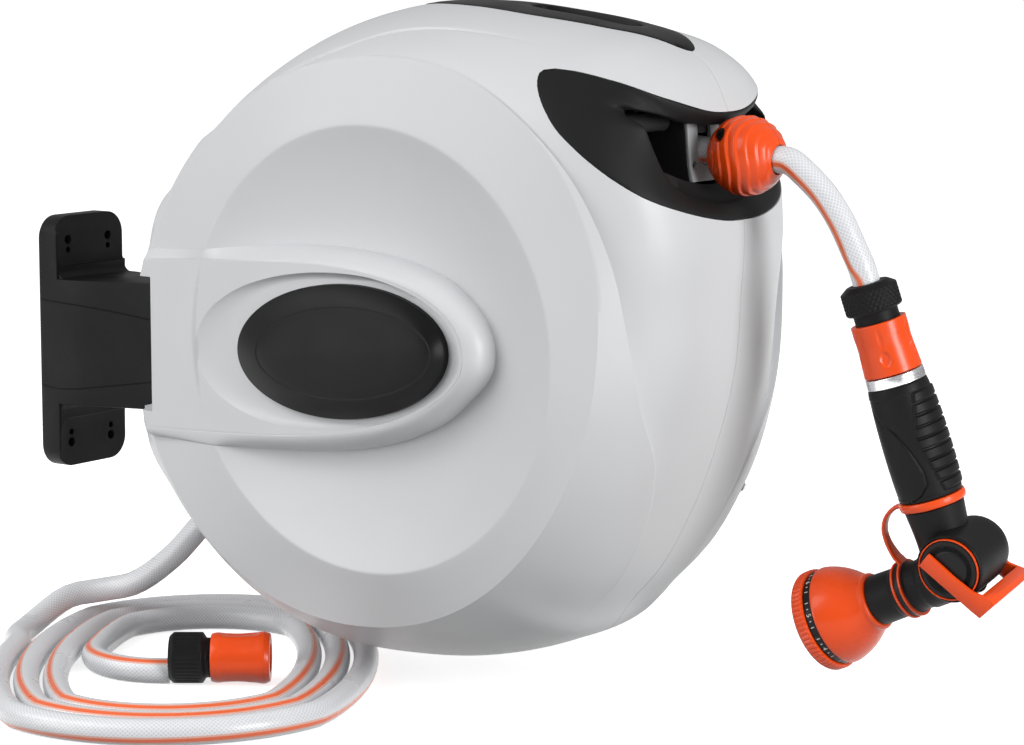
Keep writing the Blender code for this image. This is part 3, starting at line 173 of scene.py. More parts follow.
def add_noise(tree, scale, detail=4.0, stretch=None):
    coords = tree.nodes.new("ShaderNodeTexCoord")
    noise = tree.nodes.new("ShaderNodeTexNoise")
    noise.inputs["Scale"].default_value = scale
    noise.inputs["Detail"].default_value = detail
    if stretch:
        mapping = tree.nodes.new("ShaderNodeMapping")
        mapping.inputs["Scale"].default_value = stretch
        tree.links.new(coords.outputs["Object"], mapping.inputs["Vector"])
        tree.links.new(mapping.outputs["Vector"], noise.inputs["Vector"])
    else:
        tree.links.new(coords.outputs["Object"], noise.inputs["Vector"])
    return noise.outputs["Fac"]


def ramp(tree, source, low, high, start=0.3, end=0.7):
    made = tree.nodes.new("ShaderNodeValToRGB")
    made.color_ramp.elements[0].position = start
    made.color_ramp.elements[1].position = end
    made.color_ramp.elements[0].color = low
    made.color_ramp.elements[1].color = high
    tree.links.new(source, made.inputs["Fac"])
    return made.outputs["Color"]


def grey(value):
    return (value, value, value, 1)


def scaled(colour, factor):
    return tuple(min(1.0, c * factor) for c in colour) + (1,)


def add_bump(tree, shader, height, strength, distance=0.001):
    bump = tree.nodes.new("ShaderNodeBump")
    bump.inputs["Strength"].default_value = strength
    bump.inputs["Distance"].default_value = distance
    tree.links.new(height, bump.inputs["Height"])
    tree.links.new(bump.outputs["Normal"], shader.inputs["Normal"])


def moulded(name, colour, roughness, grain=700, grain_strength=0.05, variation=0.03, scuff=0.05, coat=0.0,
            shine=0.5):
    """Moulded plastic: faint tint drift, uneven gloss and a fine grain."""
    made, shader, tree = new_material(name)
    drift = add_noise(tree, 9, 5)
    tree.links.new(ramp(tree, drift, scaled(colour, 1 - variation), scaled(colour, 1 + variation)),
                   shader.inputs["Base Color"])
    gloss = add_noise(tree, 34, 6)
    tree.links.new(ramp(tree, gloss, grey(roughness - scuff), grey(roughness + scuff)),
                   shader.inputs["Roughness"])
    add_bump(tree, shader, add_noise(tree, grain, 3), grain_strength, 0.0004)
    shader.inputs["Specular IOR Level"].default_value = shine
    shader.inputs["Coat Weight"].default_value = coat
    shader.inputs["Coat Roughness"].default_value = 0.12
    return made


def metal(name, colour, roughness, stretch=(1, 1, 1), scale=500):
    """Metal with fine lines along its turning or brushing."""
    made, shader, tree = new_material(name)
    shader.inputs["Metallic"].default_value = 1.0
    drift = add_noise(tree, 22, 4)
    tree.links.new(ramp(tree, drift, scaled(colour, 0.93), scaled(colour, 1.05)),
                   shader.inputs["Base Color"])
    lines = add_noise(tree, scale, 2, stretch)
    tree.links.new(ramp(tree, lines, grey(roughness - 0.08), grey(roughness + 0.1)),
                   shader.inputs["Roughness"])
    add_bump(tree, shader, lines, 0.05, 0.0003)
    return made


def hose_material(name, colour, thread, coat=0.25):
    """Clear-skinned hose: a crossed braid under the skin, read from the tube's own map."""
    made, shader, tree = new_material(name)
    nodes, links = tree.nodes, tree.links
    place = nodes.new("ShaderNodeUVMap")
    place.uv_map = HOSE_MAP
    split = nodes.new("ShaderNodeSeparateXYZ")
    links.new(place.outputs["UV"], split.inputs["Vector"])

    def term(operation, a, b=None):
        node = nodes.new("ShaderNodeMath")
        node.operation = operation
        for socket, value in zip(node.inputs, (a, b)):
            if value is None:
                continue
            if isinstance(value, float):
                socket.default_value = value
            else:
                links.new(value, socket)
        return node.outputs[0]

    along = term("MULTIPLY", split.outputs["X"], BRAID_ALONG)
    around = term("MULTIPLY", split.outputs["Y"], BRAID_AROUND)
    one = term("SINE", term("ADD", along, around))
    other = term("SINE", term("SUBTRACT", along, around))
    braid = term("MAXIMUM", one, other)
    tree.links.new(ramp(tree, braid, scaled(colour, 0.93), scaled(thread, 1.0), 0.15, 0.95),
                   shader.inputs["Base Color"])
    gloss = add_noise(tree, 40, 4)
    links.new(ramp(tree, gloss, grey(0.26), grey(0.38)), shader.inputs["Roughness"])
    add_bump(tree, shader, braid, 0.12, 0.0004)
    shader.inputs["Coat Weight"].default_value = coat
    shader.inputs["Coat Roughness"].default_value = 0.18
    shader.inputs["Subsurface Weight"].default_value = 0.15
    shader.inputs["Subsurface Radius"].default_value = (0.004, 0.004, 0.004)
    return made


HOSE_MAP = "hose_map"
BRAID_ALONG = 2400.0
BRAID_AROUND = 20.0


def build_materials():
    return {
        "light_shell": moulded("light_shell", (0.62, 0.632, 0.645), 0.42, 900, 0.025, 0.012, 0.03, 0.03,
                               0.4),
        "black_plastic": moulded("black_plastic", (0.0085, 0.0085, 0.0088), 0.48, 520, 0.16, 0.12, 0.06, 0.0,
                                 0.12),
        "cap_black": moulded("cap_black", (0.0065, 0.0065, 0.0068), 0.42, 700, 0.05, 0.08, 0.05, 0.0, 0.12),
        "trim_black": moulded("trim_black", (0.011, 0.011, 0.0114), 0.55, 700, 0.06, 0.08, 0.05, 0.0, 0.14),
        "rod_grey": moulded("rod_grey", (0.028, 0.029, 0.03), 0.4, 640, 0.05, 0.1, 0.05, 0.0, 0.5),
        "dark_plastic": moulded("dark_plastic", (0.01, 0.01, 0.0105), 0.36, 640, 0.07, 0.1, 0.05, 0.0, 0.16),
        "orange_plastic": moulded("orange_plastic", (0.86, 0.075, 0.004), 0.3, 700, 0.05, 0.04, 0.06, 0.1,
                                  0.32),
        "silver_trim": metal("silver_trim", (0.82, 0.82, 0.84), 0.24, (1, 1, 8)),
        "steel": metal("steel", (0.56, 0.57, 0.58), 0.34, (1, 10, 1)),
        "brass": metal("brass", (0.78, 0.57, 0.28), 0.34),
        "nylon": moulded("nylon", (0.72, 0.72, 0.69), 0.45, 600, 0.06, 0.03, 0.06),
        "guide_grey": moulded("guide_grey", (0.4, 0.42, 0.43), 0.4, 650, 0.08, 0.06, 0.06),
        "hose": hose_material("hose", (0.66, 0.67, 0.7), (0.8, 0.81, 0.83)),
        "hose_stripe": moulded("hose_stripe", (0.82, 0.13, 0.03), 0.3, 700, 0.03, 0.06, 0.05, 0.25),
        "hose_stripe_edge": moulded("hose_stripe_edge", (0.76, 0.42, 0.34), 0.3, 700, 0.03, 0.06, 0.05,
                                    0.25),
        "mark_white": moulded("mark_white", (0.78, 0.78, 0.76), 0.5, 700, 0.02, 0.03, 0.04),
    }


# Meshes

def mesh_from(name, points, faces, recalc=False):
    mesh = bpy.data.meshes.new(name)
    mesh.from_pydata([tuple(p) for p in points], [], faces)
    if recalc:
        work = bmesh.new()
        work.from_mesh(mesh)
        bmesh.ops.recalc_face_normals(work, faces=work.faces)
        work.to_mesh(mesh)
        work.free()
    return mesh


def piece(name, mesh, body, slot, replaced=(), paint=None, smooth_angle=35):
    """An object of the reel: shaded, painted, riding on its body and standing for its solids."""
    made = bpy.data.objects.new(name, mesh)
    SCENE.collection.objects.link(made)
    mesh.shade_smooth()
    mesh.set_sharp_from_angle(angle=math.radians(smooth_angle))
    if not mesh.materials:
        mesh.materials.append(PAINTS[paint or slot])
    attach(made, body)
    if replaced:
        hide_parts(*replaced)
    return made


def apply_modifiers(made, smooth_angle=35):
    """Turns an object's modifiers into its mesh."""
    evaluated = made.evaluated_get(bpy.context.evaluated_depsgraph_get())
    mesh = bpy.data.meshes.new_from_object(evaluated)
    made.modifiers.clear()
    made.data = mesh
    mesh.shade_smooth()
    mesh.set_sharp_from_angle(angle=math.radians(smooth_angle))
    return made


def facing(direction, point, side=None):
    """A placement whose local +Z lies along a direction, and local +X as near as it can be to side."""
    ahead = Vector(direction).normalized()
    if side is None:
        turn = ahead.to_track_quat("Z", "Y").to_matrix().to_4x4()
    else:
        across = (Vector(side) - ahead * Vector(side).dot(ahead)).normalized()
        turn = Matrix((across, ahead.cross(across), ahead)).transposed().to_4x4()
    return Matrix.Translation(Vector(point)) @ turn


def joined(name, meshes):
    """One mesh of several, which are removed."""
    points, faces = [], []
    for mesh in meshes:
        base = len(points)
        points += [v.co.copy() for v in mesh.vertices]
        faces += [tuple(base + i for i in p.vertices) for p in mesh.polygons]
        bpy.data.meshes.remove(mesh)
    return mesh_from(name, points, faces)


def revolved(name, profile, steps, place, ring=False, shape=None):
    """A profile of (radius, height) turned about local Z. shape(radius, height, angle) changes a radius."""
    points, rows = [], []
    turns = [2 * math.pi * i / steps for i in range(steps)]
    for radius, height in profile:
        if radius < 1e-7:
            rows.append([len(points)] * steps)
            points.append(place @ Vector((0, 0, height)))
            continue
        rows.append(list(range(len(points), len(points) + steps)))
        for a in turns:
            r = shape(radius, height, a) if shape else radius
            points.append(place @ Vector((r * math.cos(a), r * math.sin(a), height)))
    pairs = list(zip(rows, rows[1:]))
    if ring:
        pairs.append((rows[-1], rows[0]))
    faces = []
    for low, high in pairs:
        for i in range(steps):
            j = (i + 1) % steps
            corners = [low[i], low[j], high[j], high[i]]
            face = tuple(dict.fromkeys(corners))
            if len(face) > 2:
                faces.append(face)
    return mesh_from(name, points, faces, True)


def smooth_profile(keys, step=0.0008):
    """Straight runs between keys, cut into short steps."""
    made = [keys[0]]
    for (r0, h0), (r1, h1) in zip(keys, keys[1:]):
        count = max(1, round(math.hypot(r1 - r0, h1 - h0) / step))
        for i in range(1, count + 1):
            made.append((r0 + (r1 - r0) * i / count, h0 + (h1 - h0) * i / count))
    return made


def rounded_profile(keys, radius=0.0006, steps=3):
    """A profile whose corners are rounded. A key may carry its own radius as a third number."""
    made = []
    for i, key in enumerate(keys):
        here = Vector(key[:2])
        size = key[2] if len(key) > 2 else radius
        if i in (0, len(keys) - 1) or size <= 0:
            made.append(tuple(here))
            continue
        before, after = Vector(keys[i - 1][:2]) - here, Vector(keys[i + 1][:2]) - here
        reach = min(size, before.length * 0.49, after.length * 0.49)
        start, end = here + before.normalized() * reach, here + after.normalized() * reach
        for k in range(steps + 1):
            t = k / steps
            made.append(tuple((1 - t) ** 2 * start + 2 * t * (1 - t) * here + t * t * end))
    return made


def ring_faces(rings, count, closed=False):
    """Faces between rings of points that follow one another."""
    faces = []
    for k in range(rings if closed else rings - 1):
        low, high = k * count, (k + 1) % rings * count
        for i in range(count):
            j = (i + 1) % count
            faces.append((low + i, low + j, high + j, high + i))
    return faces


def along_curve(keys, per):
    """Points along a smooth curve through keys, given with one more key before and behind them."""
    made = []
    for a, b, c, d in zip(keys, keys[1:], keys[2:], keys[3:]):
        for i in range(per):
            t = i / per
            made.append(0.5 * (2 * b + (c - a) * t + (2 * a - 5 * b + 4 * c - d) * t * t
                               + (3 * b - a - 3 * c + d) * t ** 3))
    return made


def run_lengths(points):
    """Distance along a line of points, at each of them."""
    lengths = [0.0]
    for a, b in zip(points, points[1:]):
        lengths.append(lengths[-1] + (b - a).length)
    return lengths


def prism_mesh(name, outline, low, high, place):
    """An outline of (x, y) drawn out along z between two heights, then placed."""
    count = len(outline)
    points = [place @ Vector((x, y, low)) for x, y in outline]
    points += [place @ Vector((x, y, high)) for x, y in outline]
    faces = [tuple(range(count)), tuple(range(2 * count - 1, count - 1, -1))]
    for i in range(count):
        j = (i + 1) % count
        faces.append((i, j, count + j, count + i))
    return mesh_from(name, points, faces, True)


def ellipse_outline(half_x, half_y, steps, centre=(0.0, 0.0)):
    turns = [2 * math.pi * i / steps for i in range(steps)]
    return [(centre[0] + half_x * math.cos(a), centre[1] + half_y * math.sin(a)) for a in turns]


def rounded_outline(half_x, half_y, radius, steps=8):
    outline = []
    for sx, sy, start in ((1, 1, 0), (-1, 1, 90), (-1, -1, 180), (1, -1, 270)):
        for i in range(steps + 1):
            a = math.radians(start + 90 * i / steps)
            outline.append((sx * (half_x - radius) + radius * math.cos(a),
                            sy * (half_y - radius) + radius * math.sin(a)))
    return outline


def box_mesh(name, low, high):
    outline = [(low[0], low[1]), (high[0], low[1]), (high[0], high[1]), (low[0], high[1])]
    return prism_mesh(name, outline, low[2], high[2], Matrix.Identity(4))


def hidden(mesh):
    """A cutter: it isn't shown and isn't part of the reel."""
    made = bpy.data.objects.new(mesh.name, mesh)
    SCENE.collection.objects.link(made)
    made.hide_render = True
    made.hide_viewport = False
    made.display_type = "WIRE"
    CUTTERS.append(made)
    return made


CUTTERS = []


def clear_cutters():
    for made in CUTTERS:
        bpy.data.objects.remove(made)
    CUTTERS.clear()


def cylinder_cutter(name, radius, start, end, steps=32):
    start, end = Vector(start), Vector(end)
    profile = ((0, 0), (radius, 0), (radius, (end - start).length), (0, (end - start).length))
    return hidden(revolved(name, profile, steps, facing(end - start, start) @ Matrix.Rotation(0.127, 4,
                                                                                              "Z")))


def combine(target, tool, operation="DIFFERENCE"):
    modifier = target.modifiers.new(tool.name, "BOOLEAN")
    modifier.operation = operation
    modifier.object = tool
    modifier.solver = "MANIFOLD"
    return target


def bevelled(made, width, segments=2, angle=35):
    modifier = made.modifiers.new("bevel", "BEVEL")
    modifier.width = width
    modifier.segments = segments
    modifier.limit_method = "ANGLE"
    modifier.angle_limit = math.radians(angle)
    modifier.harden_normals = False
    return made


def ease(low, high, value):
    t = np.clip((value - low) / (high - low), 0.0, 1.0)
    return t * t * (3 - 2 * t)


def smooth_keys(keys):
    """A smooth function through keys of (x, y), for arrays too."""
    xs = np.array([k[0] for k in keys], float)
    ys = np.array([k[1] for k in keys], float)
    slopes = np.gradient(ys, xs)

    def read(x):
        x = np.clip(x, xs[0], xs[-1])
        i = np.clip(np.searchsorted(xs, x, side="right") - 1, 0, len(xs) - 2)
        width = xs[i + 1] - xs[i]
        t = (x - xs[i]) / width
        return ((2 * t ** 3 - 3 * t ** 2 + 1) * ys[i] + (t ** 3 - 2 * t ** 2 + t) * slopes[i] * width
                + (3 * t ** 2 - 2 * t ** 3) * ys[i + 1] + (t ** 3 - t ** 2) * slopes[i + 1] * width)

    return read


def ring_keys(keys):
    """A smooth closed function of the angle in degrees through keys of (angle, value)."""
    keys = sorted((angle % 360, value) for angle, value in keys)
    wrapped = [(a - 360, v) for a, v in keys[-3:]] + keys + [(a + 360, v) for a, v in keys[:3]]
    read = smooth_keys(wrapped)
    return lambda angle: read(np.asarray(angle, float) % 360)


# Casing: the same outlines as its solids, with their relief

SEAM_RADIUS = ring_keys((
    (-170, 0.229), (-158, 0.25), (-150, 0.238), (-140, 0.229), (-125, 0.222), (-110, 0.213),
    (-95, 0.203), (-80, 0.199), (-66, 0.199), (-59, 0.2), (-54, 0.194), (-45, 0.19),
    (-30, 0.184), (-15, 0.183), (-2, 0.187), (10, 0.193), (22, 0.207), (39, 0.23),
    (44, 0.235), (50, 0.233), (60, 0.22), (72, 0.208), (84, 0.203), (96, 0.202),
    (112, 0.202), (128, 0.203), (142, 0.208), (153, 0.218), (161, 0.236), (170, 0.229),
    (180, 0.226)))
RIDGE_OUTLINE = (
    (-150, 0.19, 0.097), (-120, 0.18, 0.099), (-90, 0.168, 0.1), (-60, 0.16, 0.105),
    (-40, 0.156, 0.106), (-12, 0.155, 0.103), (6, 0.158, 0.101), (22, 0.166, 0.101),
    (45, 0.174, 0.104), (67, 0.175, 0.103), (90, 0.172, 0.102), (120, 0.174, 0.099),
    (150, 0.18, 0.097), (180, 0.19, 0.096))
RIDGE_RADIUS = ring_keys([(a, r) for a, r, _ in RIDGE_OUTLINE])
RIDGE_HALF_WIDTH = ring_keys([(a, w) for a, _, w in RIDGE_OUTLINE])
CROWN_FULLNESS = ring_keys((
    (-135, 2.2), (-90, 2.0), (-62, 2.4), (-48, 3.2), (-30, 3.2), (0, 2.5), (22, 2.6),
    (45, 3.2), (62, 2.3), (90, 2.0), (180, 2.0)))
# Front crease: its share of the half width, and the depth of the hollow in front of it
CREASE_SHARE = ring_keys(((-60, 0.4), (-36, 0.42), (-21, 0.53), (-9, 0.73), (1, 0.82), (12, 0.89),
                          (26, 0.955), (39, 0.985), (90, 0.985), (150, 0.985), (200, 0.7), (260, 0.5)))
CREASE_DEPTH = ring_keys(((-60, 0.0), (-36, 0.0), (-21, 0.0014), (-9, 0.005), (1, 0.008), (12, 0.0095),
                          (22, 0.0096), (29, 0.0082), (35, 0.0062), (41, 0.0044), (48, 0.0034), (56, 0.0028),
                          (66, 0.0024), (80, 0.0018), (95, 0.0009), (110, 0.0), (150, 0.0), (200, 0.0),
                          (260, 0.0)))
# How far from the crease the hollow reaches
CREASE_REACH = ring_keys(((-60, 0.06), (-21, 0.06), (0, 0.056), (12, 0.046), (22, 0.032), (29, 0.021),
                          (35, 0.013), (41, 0.0085), (48, 0.007), (60, 0.007), (75, 0.01), (90, 0.016),
                          (180, 0.05), (260, 0.06)))
# Fine groove along the crease, over the top
GROOVE_DEPTH = ring_keys(((20, 0.0), (38, 0.0003), (48, 0.0012), (60, 0.0016), (80, 0.0014), (94, 0.0008),
                          (106, 0.0), (150, 0.0), (200, 0.0), (300, 0.0)))
# Upper crease beside the top handle
TOP_SHARE = ring_keys(((40, 0.6), (75, 0.655), (82, 0.68), (90, 0.735), (100, 0.875), (110, 0.97),
                       (150, 0.98), (220, 0.8), (300, 0.6)))
TOP_DEPTH = ring_keys(((40, 0.0), (60, 0.0), (70, 0.0004), (80, 0.0013), (90, 0.002), (100, 0.0024),
                       (110, 0.002), (118, 0.0), (200, 0.0), (300, 0.0)))
WALL = 0.0038
RIM_RADIUS = 0.1325
RIM_HALF_WIDTH = 0.1125
BOWL_HALF_WIDTH = 0.0985
WING_HALF_WIDTH = 0.1195
WING_TILT = math.radians(4.0)
# Wing on the side face, about the axle: (x, z) of its foot, (x, z) of its upper edge, roundness of its lip
WING_KEYS = (
    (-0.205, 0.0475, -0.205, 0.0415, 0), (-0.165, 0.05, -0.165, 0.0438, 0),
    (-0.118, 0.0535, -0.118, 0.047, 0.1), (-0.074, 0.0576, -0.072, 0.0496, 0.4),
    (-0.034, 0.0592, -0.034, 0.05, 0.7), (-0.006, 0.0578, -0.009, 0.0484, 0.85),
    (0.02, 0.0542, 0.015, 0.045, 0.9), (0.041, 0.0492, 0.034, 0.0404, 1), (0.057, 0.043, 0.0485, 0.035, 1),
    (0.071, 0.033, 0.061, 0.0278, 1), (0.0805, 0.0236, 0.0695, 0.02, 1), (0.0862, 0.0138, 0.0745, 0.0118, 1),
    (0.088, 0.004, 0.0765, 0.0025, 1), (0.0866, -0.006, 0.0755, -0.0055, 1),
    (0.08, -0.0155, 0.07, -0.014, 1), (0.0665, -0.028, 0.059, -0.0238, 1),
    (0.0499, -0.0408, 0.042, -0.0335, 1), (0.0281, -0.0508, 0.022, -0.0415, 1),
    (0.006, -0.0578, 0.001, -0.0465, 1), (-0.017, -0.0622, -0.02, -0.05, 1),
    (-0.036, -0.0642, -0.039, -0.0525, 1), (-0.056, -0.0655, -0.059, -0.0545, 1),
    (-0.085, -0.0666, -0.086, -0.0565, 1), (-0.12, -0.0672, -0.12, -0.059, 1),
    (-0.165, -0.068, -0.165, -0.062, 1), (-0.205, -0.069, -0.205, -0.064, 1))
CAP_CENTRE = Vector((-0.0125, 0.0))
CAP_HALF = (0.0775, 0.04)
CAP_BEVEL = 0.0124
CAP_FACE_SHIFT = 0.62
POCKET_CENTRE = Vector((-0.026, 0.0))
POCKET_HALF = (0.1045, 0.047)
POCKET_DEPTH = 0.0032
SEAM_HALF_GAP = 0.00015


def soft_min(a, b, size):
    """The lower of two surfaces, blended where they cross."""
    return -size * np.logaddexp(-a / size, -b / size)


def side_half_width(x, z):
    """Half width of the casing over points of its side face, given from the axle."""
    radius = np.hypot(x, z)
    angle = np.degrees(np.arctan2(z, x))
    ridge = RIDGE_RADIUS(angle)
    share = (radius - RIM_RADIUS) / (ridge - RIM_RADIUS)
    band = RIM_HALF_WIDTH + (RIDGE_HALF_WIDTH(angle) - RIM_HALF_WIDTH) * share
    bowl = BOWL_HALF_WIDTH + (RIM_HALF_WIDTH - BOWL_HALF_WIDTH) * (radius / RIM_RADIUS) ** 3.2
    return soft_min(band, bowl, 0.00035)


def wing_top(x):
    return WING_HALF_WIDTH - 0.0175 * ease(0.06, 0.205, -np.asarray(x, float))


def wing_mesh(name, side):
    """Raised wing of one side: its wall, its lip, its flat top and the oval pocket that the cap lies in."""
    upper = smooth_loop([k[:2] for k in WING_KEYS])
    crest = smooth_loop([k[2:4] for k in WING_KEYS])
    lip = smooth_loop([(k[4], 0.0) for k in WING_KEYS])[:, 0]
    lip = np.clip(lip, 0.0, 1.0)
    close = np.linspace(0.0, 1.0, 30)[1:-1, None]
    foot = np.concatenate([upper, upper[-1] + (upper[0] - upper[-1]) * close])
    crest = np.concatenate([crest, crest[-1] + (crest[0] - crest[-1]) * close])
    lip = np.concatenate([lip, np.zeros(len(close))])
    foot = held_inside(foot, 0.001)
    crest = held_inside(crest, -0.003)
    c, s = math.cos(WING_TILT), math.sin(WING_TILT)
    centre = np.array([POCKET_CENTRE.x * c, POCKET_CENTRE.x * s])
    turn = np.array([[c, s], [-s, c]])
    local = (crest - centre) @ turn.T
    phase = np.arctan2(local[:, 1] / POCKET_HALF[1], local[:, 0] / POCKET_HALF[0])
    rows = []
    ground = side_half_width(foot[:, 0], foot[:, 1])
    crest_height = wing_top(crest[:, 0])

    def row(place, height):
        rows.append(np.stack([place[:, 0], side * height, place[:, 1]], 1))

    def oval(shrink_x, shrink_z):
        flat = np.stack([(POCKET_HALF[0] - shrink_x) * np.cos(phase),
                         (POCKET_HALF[1] - shrink_z) * np.sin(phase)], 1)
        most = 0.985 * np.hypot(local[:, 0], local[:, 1]) - 0.0008
        flat *= np.minimum(1.0, most / np.hypot(flat[:, 0], flat[:, 1]))[:, None]
        return centre + flat @ turn

    row(foot, ground - 0.0022)
    row(foot, ground + 0.0002)
    for share in (0.015, 0.04, 0.08, 0.14, 0.22, 0.32, 0.44, 0.57, 0.7, 0.82, 0.91, 0.965):
        rounded = np.sqrt(1 - (1 - share) ** 2)
        climb = share + (rounded - share) * lip
        row(foot + (crest - foot) * share, ground + (crest_height - ground) * climb)
    row(crest, crest_height - 0.0002)
    edge = oval(0.0, 0.0)
    for share in (0.04, 0.12, 0.3, 0.5, 0.7, 0.88, 0.97):
        place = crest + (edge - crest) * share
        row(place, wing_top(place[:, 0]))
    soft = 0.0022 + 0.024 * ease(-0.5, 0.9, -np.cos(phase))
    across = np.minimum(soft, 0.0045)
    for share in (0.0, 0.012, 0.05, 0.12, 0.2, 0.3, 0.42, 0.56, 0.72, 0.88, 1.0):
        place = oval(soft * share, across * share)
        row(place, wing_top(place[:, 0]) - POCKET_DEPTH * (1 - (1 - share) ** 2))
    inner = oval(soft, across)
    for share in (0.92, 0.75, 0.5, 0.25):
        place = centre + (inner - centre) * share
        row(place, np.minimum(wing_top(place[:, 0]), WING_HALF_WIDTH) - POCKET_DEPTH)
    count = len(foot)
    points = np.concatenate(rows + [np.array([[centre[0], side * (WING_HALF_WIDTH - POCKET_DEPTH),
                                               centre[1]]])])
    points += np.array(AXLE)
    faces = [tuple(range(count))] + ring_faces(len(rows), count)
    last = (len(rows) - 1) * count
    for i in range(count):
        faces.append((last + i, last + (i + 1) % count, len(points) - 1))
    return mesh_from(name, points, faces, True)


def smooth_loop(keys, per=10):
    """Points along a smooth open curve through keys."""
    keys = [np.array(k, float) for k in keys]
    ends = [2 * keys[0] - keys[1]] + keys + [2 * keys[-1] - keys[-2]]
    return np.array(along_curve(ends, per) + [keys[-1]])


def held_inside(points, beyond):
    """Points drawn in to the ridge, plus a distance."""
    radius = np.hypot(points[:, 0], points[:, 1])
    most = RIDGE_RADIUS(np.degrees(np.arctan2(points[:, 1], points[:, 0]))) + beyond
    return points * np.minimum(1.0, most / radius)[:, None]


def plain_crown_radius(angle, share):
    """Radius of the crown, without its relief, at a share of the ridge's half width from the seam."""
    seam, ridge = SEAM_RADIUS(angle), RIDGE_RADIUS(angle)
    return seam - (seam - ridge) * share ** CROWN_FULLNESS(angle)


def crown_radius(angle, share):
    radius = plain_crown_radius(angle, share)
    beyond = (CREASE_SHARE(angle) - share) * RIDGE_HALF_WIDTH(angle)
    hollow = ease(0.0, 0.0012, beyond) * (1 - np.clip((beyond - 0.0012) / CREASE_REACH(angle), 0.0,
                                                      1.0)) ** 2
    radius = radius - CREASE_DEPTH(angle) * hollow
    radius = radius - GROOVE_DEPTH(angle) * np.exp(-((beyond - 0.0008) / 0.0007) ** 2)
    above = (TOP_SHARE(angle) - share) * RIDGE_HALF_WIDTH(angle)
    radius = radius - 0.7 * TOP_DEPTH(angle) * np.exp(-((above + 0.0002) / 0.0007) ** 2)
    return radius + 0.3 * TOP_DEPTH(angle) * ease(0.0, 0.001, above) * (1 - ease(0.004, 0.04, above))


def casing_rows(steps, inset=0.0, spacing=0.0016):
    """Rows of points from the side face's centre to the seam, for the +Y half, about the axle."""
    angles = np.arange(steps) * 360.0 / steps
    c, s = np.cos(np.radians(angles)), np.sin(np.radians(angles))
    ridge = RIDGE_RADIUS(angles)
    rows = [np.array([[0.0, float(side_half_width(0.0, 0.0)) - inset, 0.0]])]

    def side_row(radius):
        x, z = radius * c, radius * s
        return np.stack([x, side_half_width(x, z) - inset, z], 1)

    inner = max(6, round(0.118 / (spacing * 3)))
    radii = [0.118 * i / inner for i in range(1, inner + 1)]
    radii += [0.1215, 0.1245, 0.127, 0.129, 0.1303, 0.1311, 0.1317, 0.1321, 0.1325, 0.1329, 0.1333, 0.134,
              0.135]
    for radius in radii:
        rows.append(side_row(np.full(steps, radius)))
    outer = max(3, round(0.028 / (spacing * 2)))
    for i in range(1, outer):
        rows.append(side_row(0.135 + (ridge - 0.003 - inset - 0.135) * i / outer))
    for short in (0.003, 0.0016, 0.0008):
        rows.append(side_row(ridge - short - inset))
    crease = np.clip(CREASE_SHARE(angles), 0.05, 0.985)
    shares = [1 - (1 - crease) * (i / 5) for i in range(6)]
    width = RIDGE_HALF_WIDTH(angles)
    shares += [crease - step / width for step in (0.0003, 0.0006, 0.0009, 0.0012, 0.0018, 0.0026, 0.0038,
                                                  0.0054)]
    left = crease - 0.0054 / width
    rest = max(16, round(0.085 / (spacing * 1.3)))
    top = np.clip(TOP_SHARE(angles), 0.3, left - 0.03)
    first = rest // 3
    shares += [left + (top + 0.0014 / width - left) * i / first for i in range(1, first)]
    shares += [top - step / width for step in (-0.0014, -0.0009, -0.0006, -0.0003, 0.0, 0.0003, 0.0006,
                                               0.001)]
    rest -= first
    shares += [(top - 0.001 / width) * (1 - i / rest) for i in range(1, rest)]
    for share in shares:
        radius = crown_radius(angles, share) - inset
        rows.append(np.stack([radius * c, RIDGE_HALF_WIDTH(angles) * share - min(inset, 0.0004), radius * s],
                             1))
    seam = SEAM_RADIUS(angles) - inset
    levels = ((0.001, 0.0), (0.0005, 0.0001), (SEAM_HALF_GAP, 0.0006)) if inset == 0 else ((-0.002, 0.0),)
    for y, drop in levels:
        radius = seam - drop
        rows.append(np.stack([radius * c, np.full(steps, y), radius * s], 1))
    return rows


def half_solid(name, side, steps, inset=0.0, spacing=0.0016):
    """One half of the casing as a solid, closed by a flat face beside the seam."""
    rows = casing_rows(steps, inset, spacing)
    points = np.concatenate(rows)
    points[:, 1] *= side
    points += np.array(AXLE)
    faces = []
    start = 1
    for i in range(steps):
        faces.append((0, start + i, start + (i + 1) % steps))
    for _ in rows[2:]:
        following = start + steps
        for i in range(steps):
            j = (i + 1) % steps
            faces.append((start + i, following + i, following + j, start + j))
        start = following
    faces.append(tuple(range(start, start + steps)))
    return mesh_from(name, points, faces, True)


def solve_crown(y, fixed, read):
    """Angle of the crown point at a distance from the seam where read(angle, radius) meets a value."""
    low, high = fixed
    for _ in range(40):
        middle = (low + high) / 2
        share = abs(y) / float(RIDGE_HALF_WIDTH(middle))
        if read(middle, float(plain_crown_radius(middle, min(share, 1.0)))) > 0:
            high = middle
        else:
            low = middle
    return middle, float(plain_crown_radius(middle, min(abs(y) / float(RIDGE_HALF_WIDTH(middle)), 1.0)))


def crown_front(y, z):
    """How far ahead of the axle the crown's front lies at a distance from the seam and a height."""
    angle, radius = solve_crown(y, (5.0, 75.0), lambda a, r: r * math.sin(math.radians(a)) - z)
    return radius * math.cos(math.radians(angle))


def crown_top(x, y):
    """How high above the axle the crown's top lies."""
    angle, radius = solve_crown(y, (40.0, 150.0), lambda a, r: x - r * math.cos(math.radians(a)))
    return radius * math.sin(math.radians(angle))


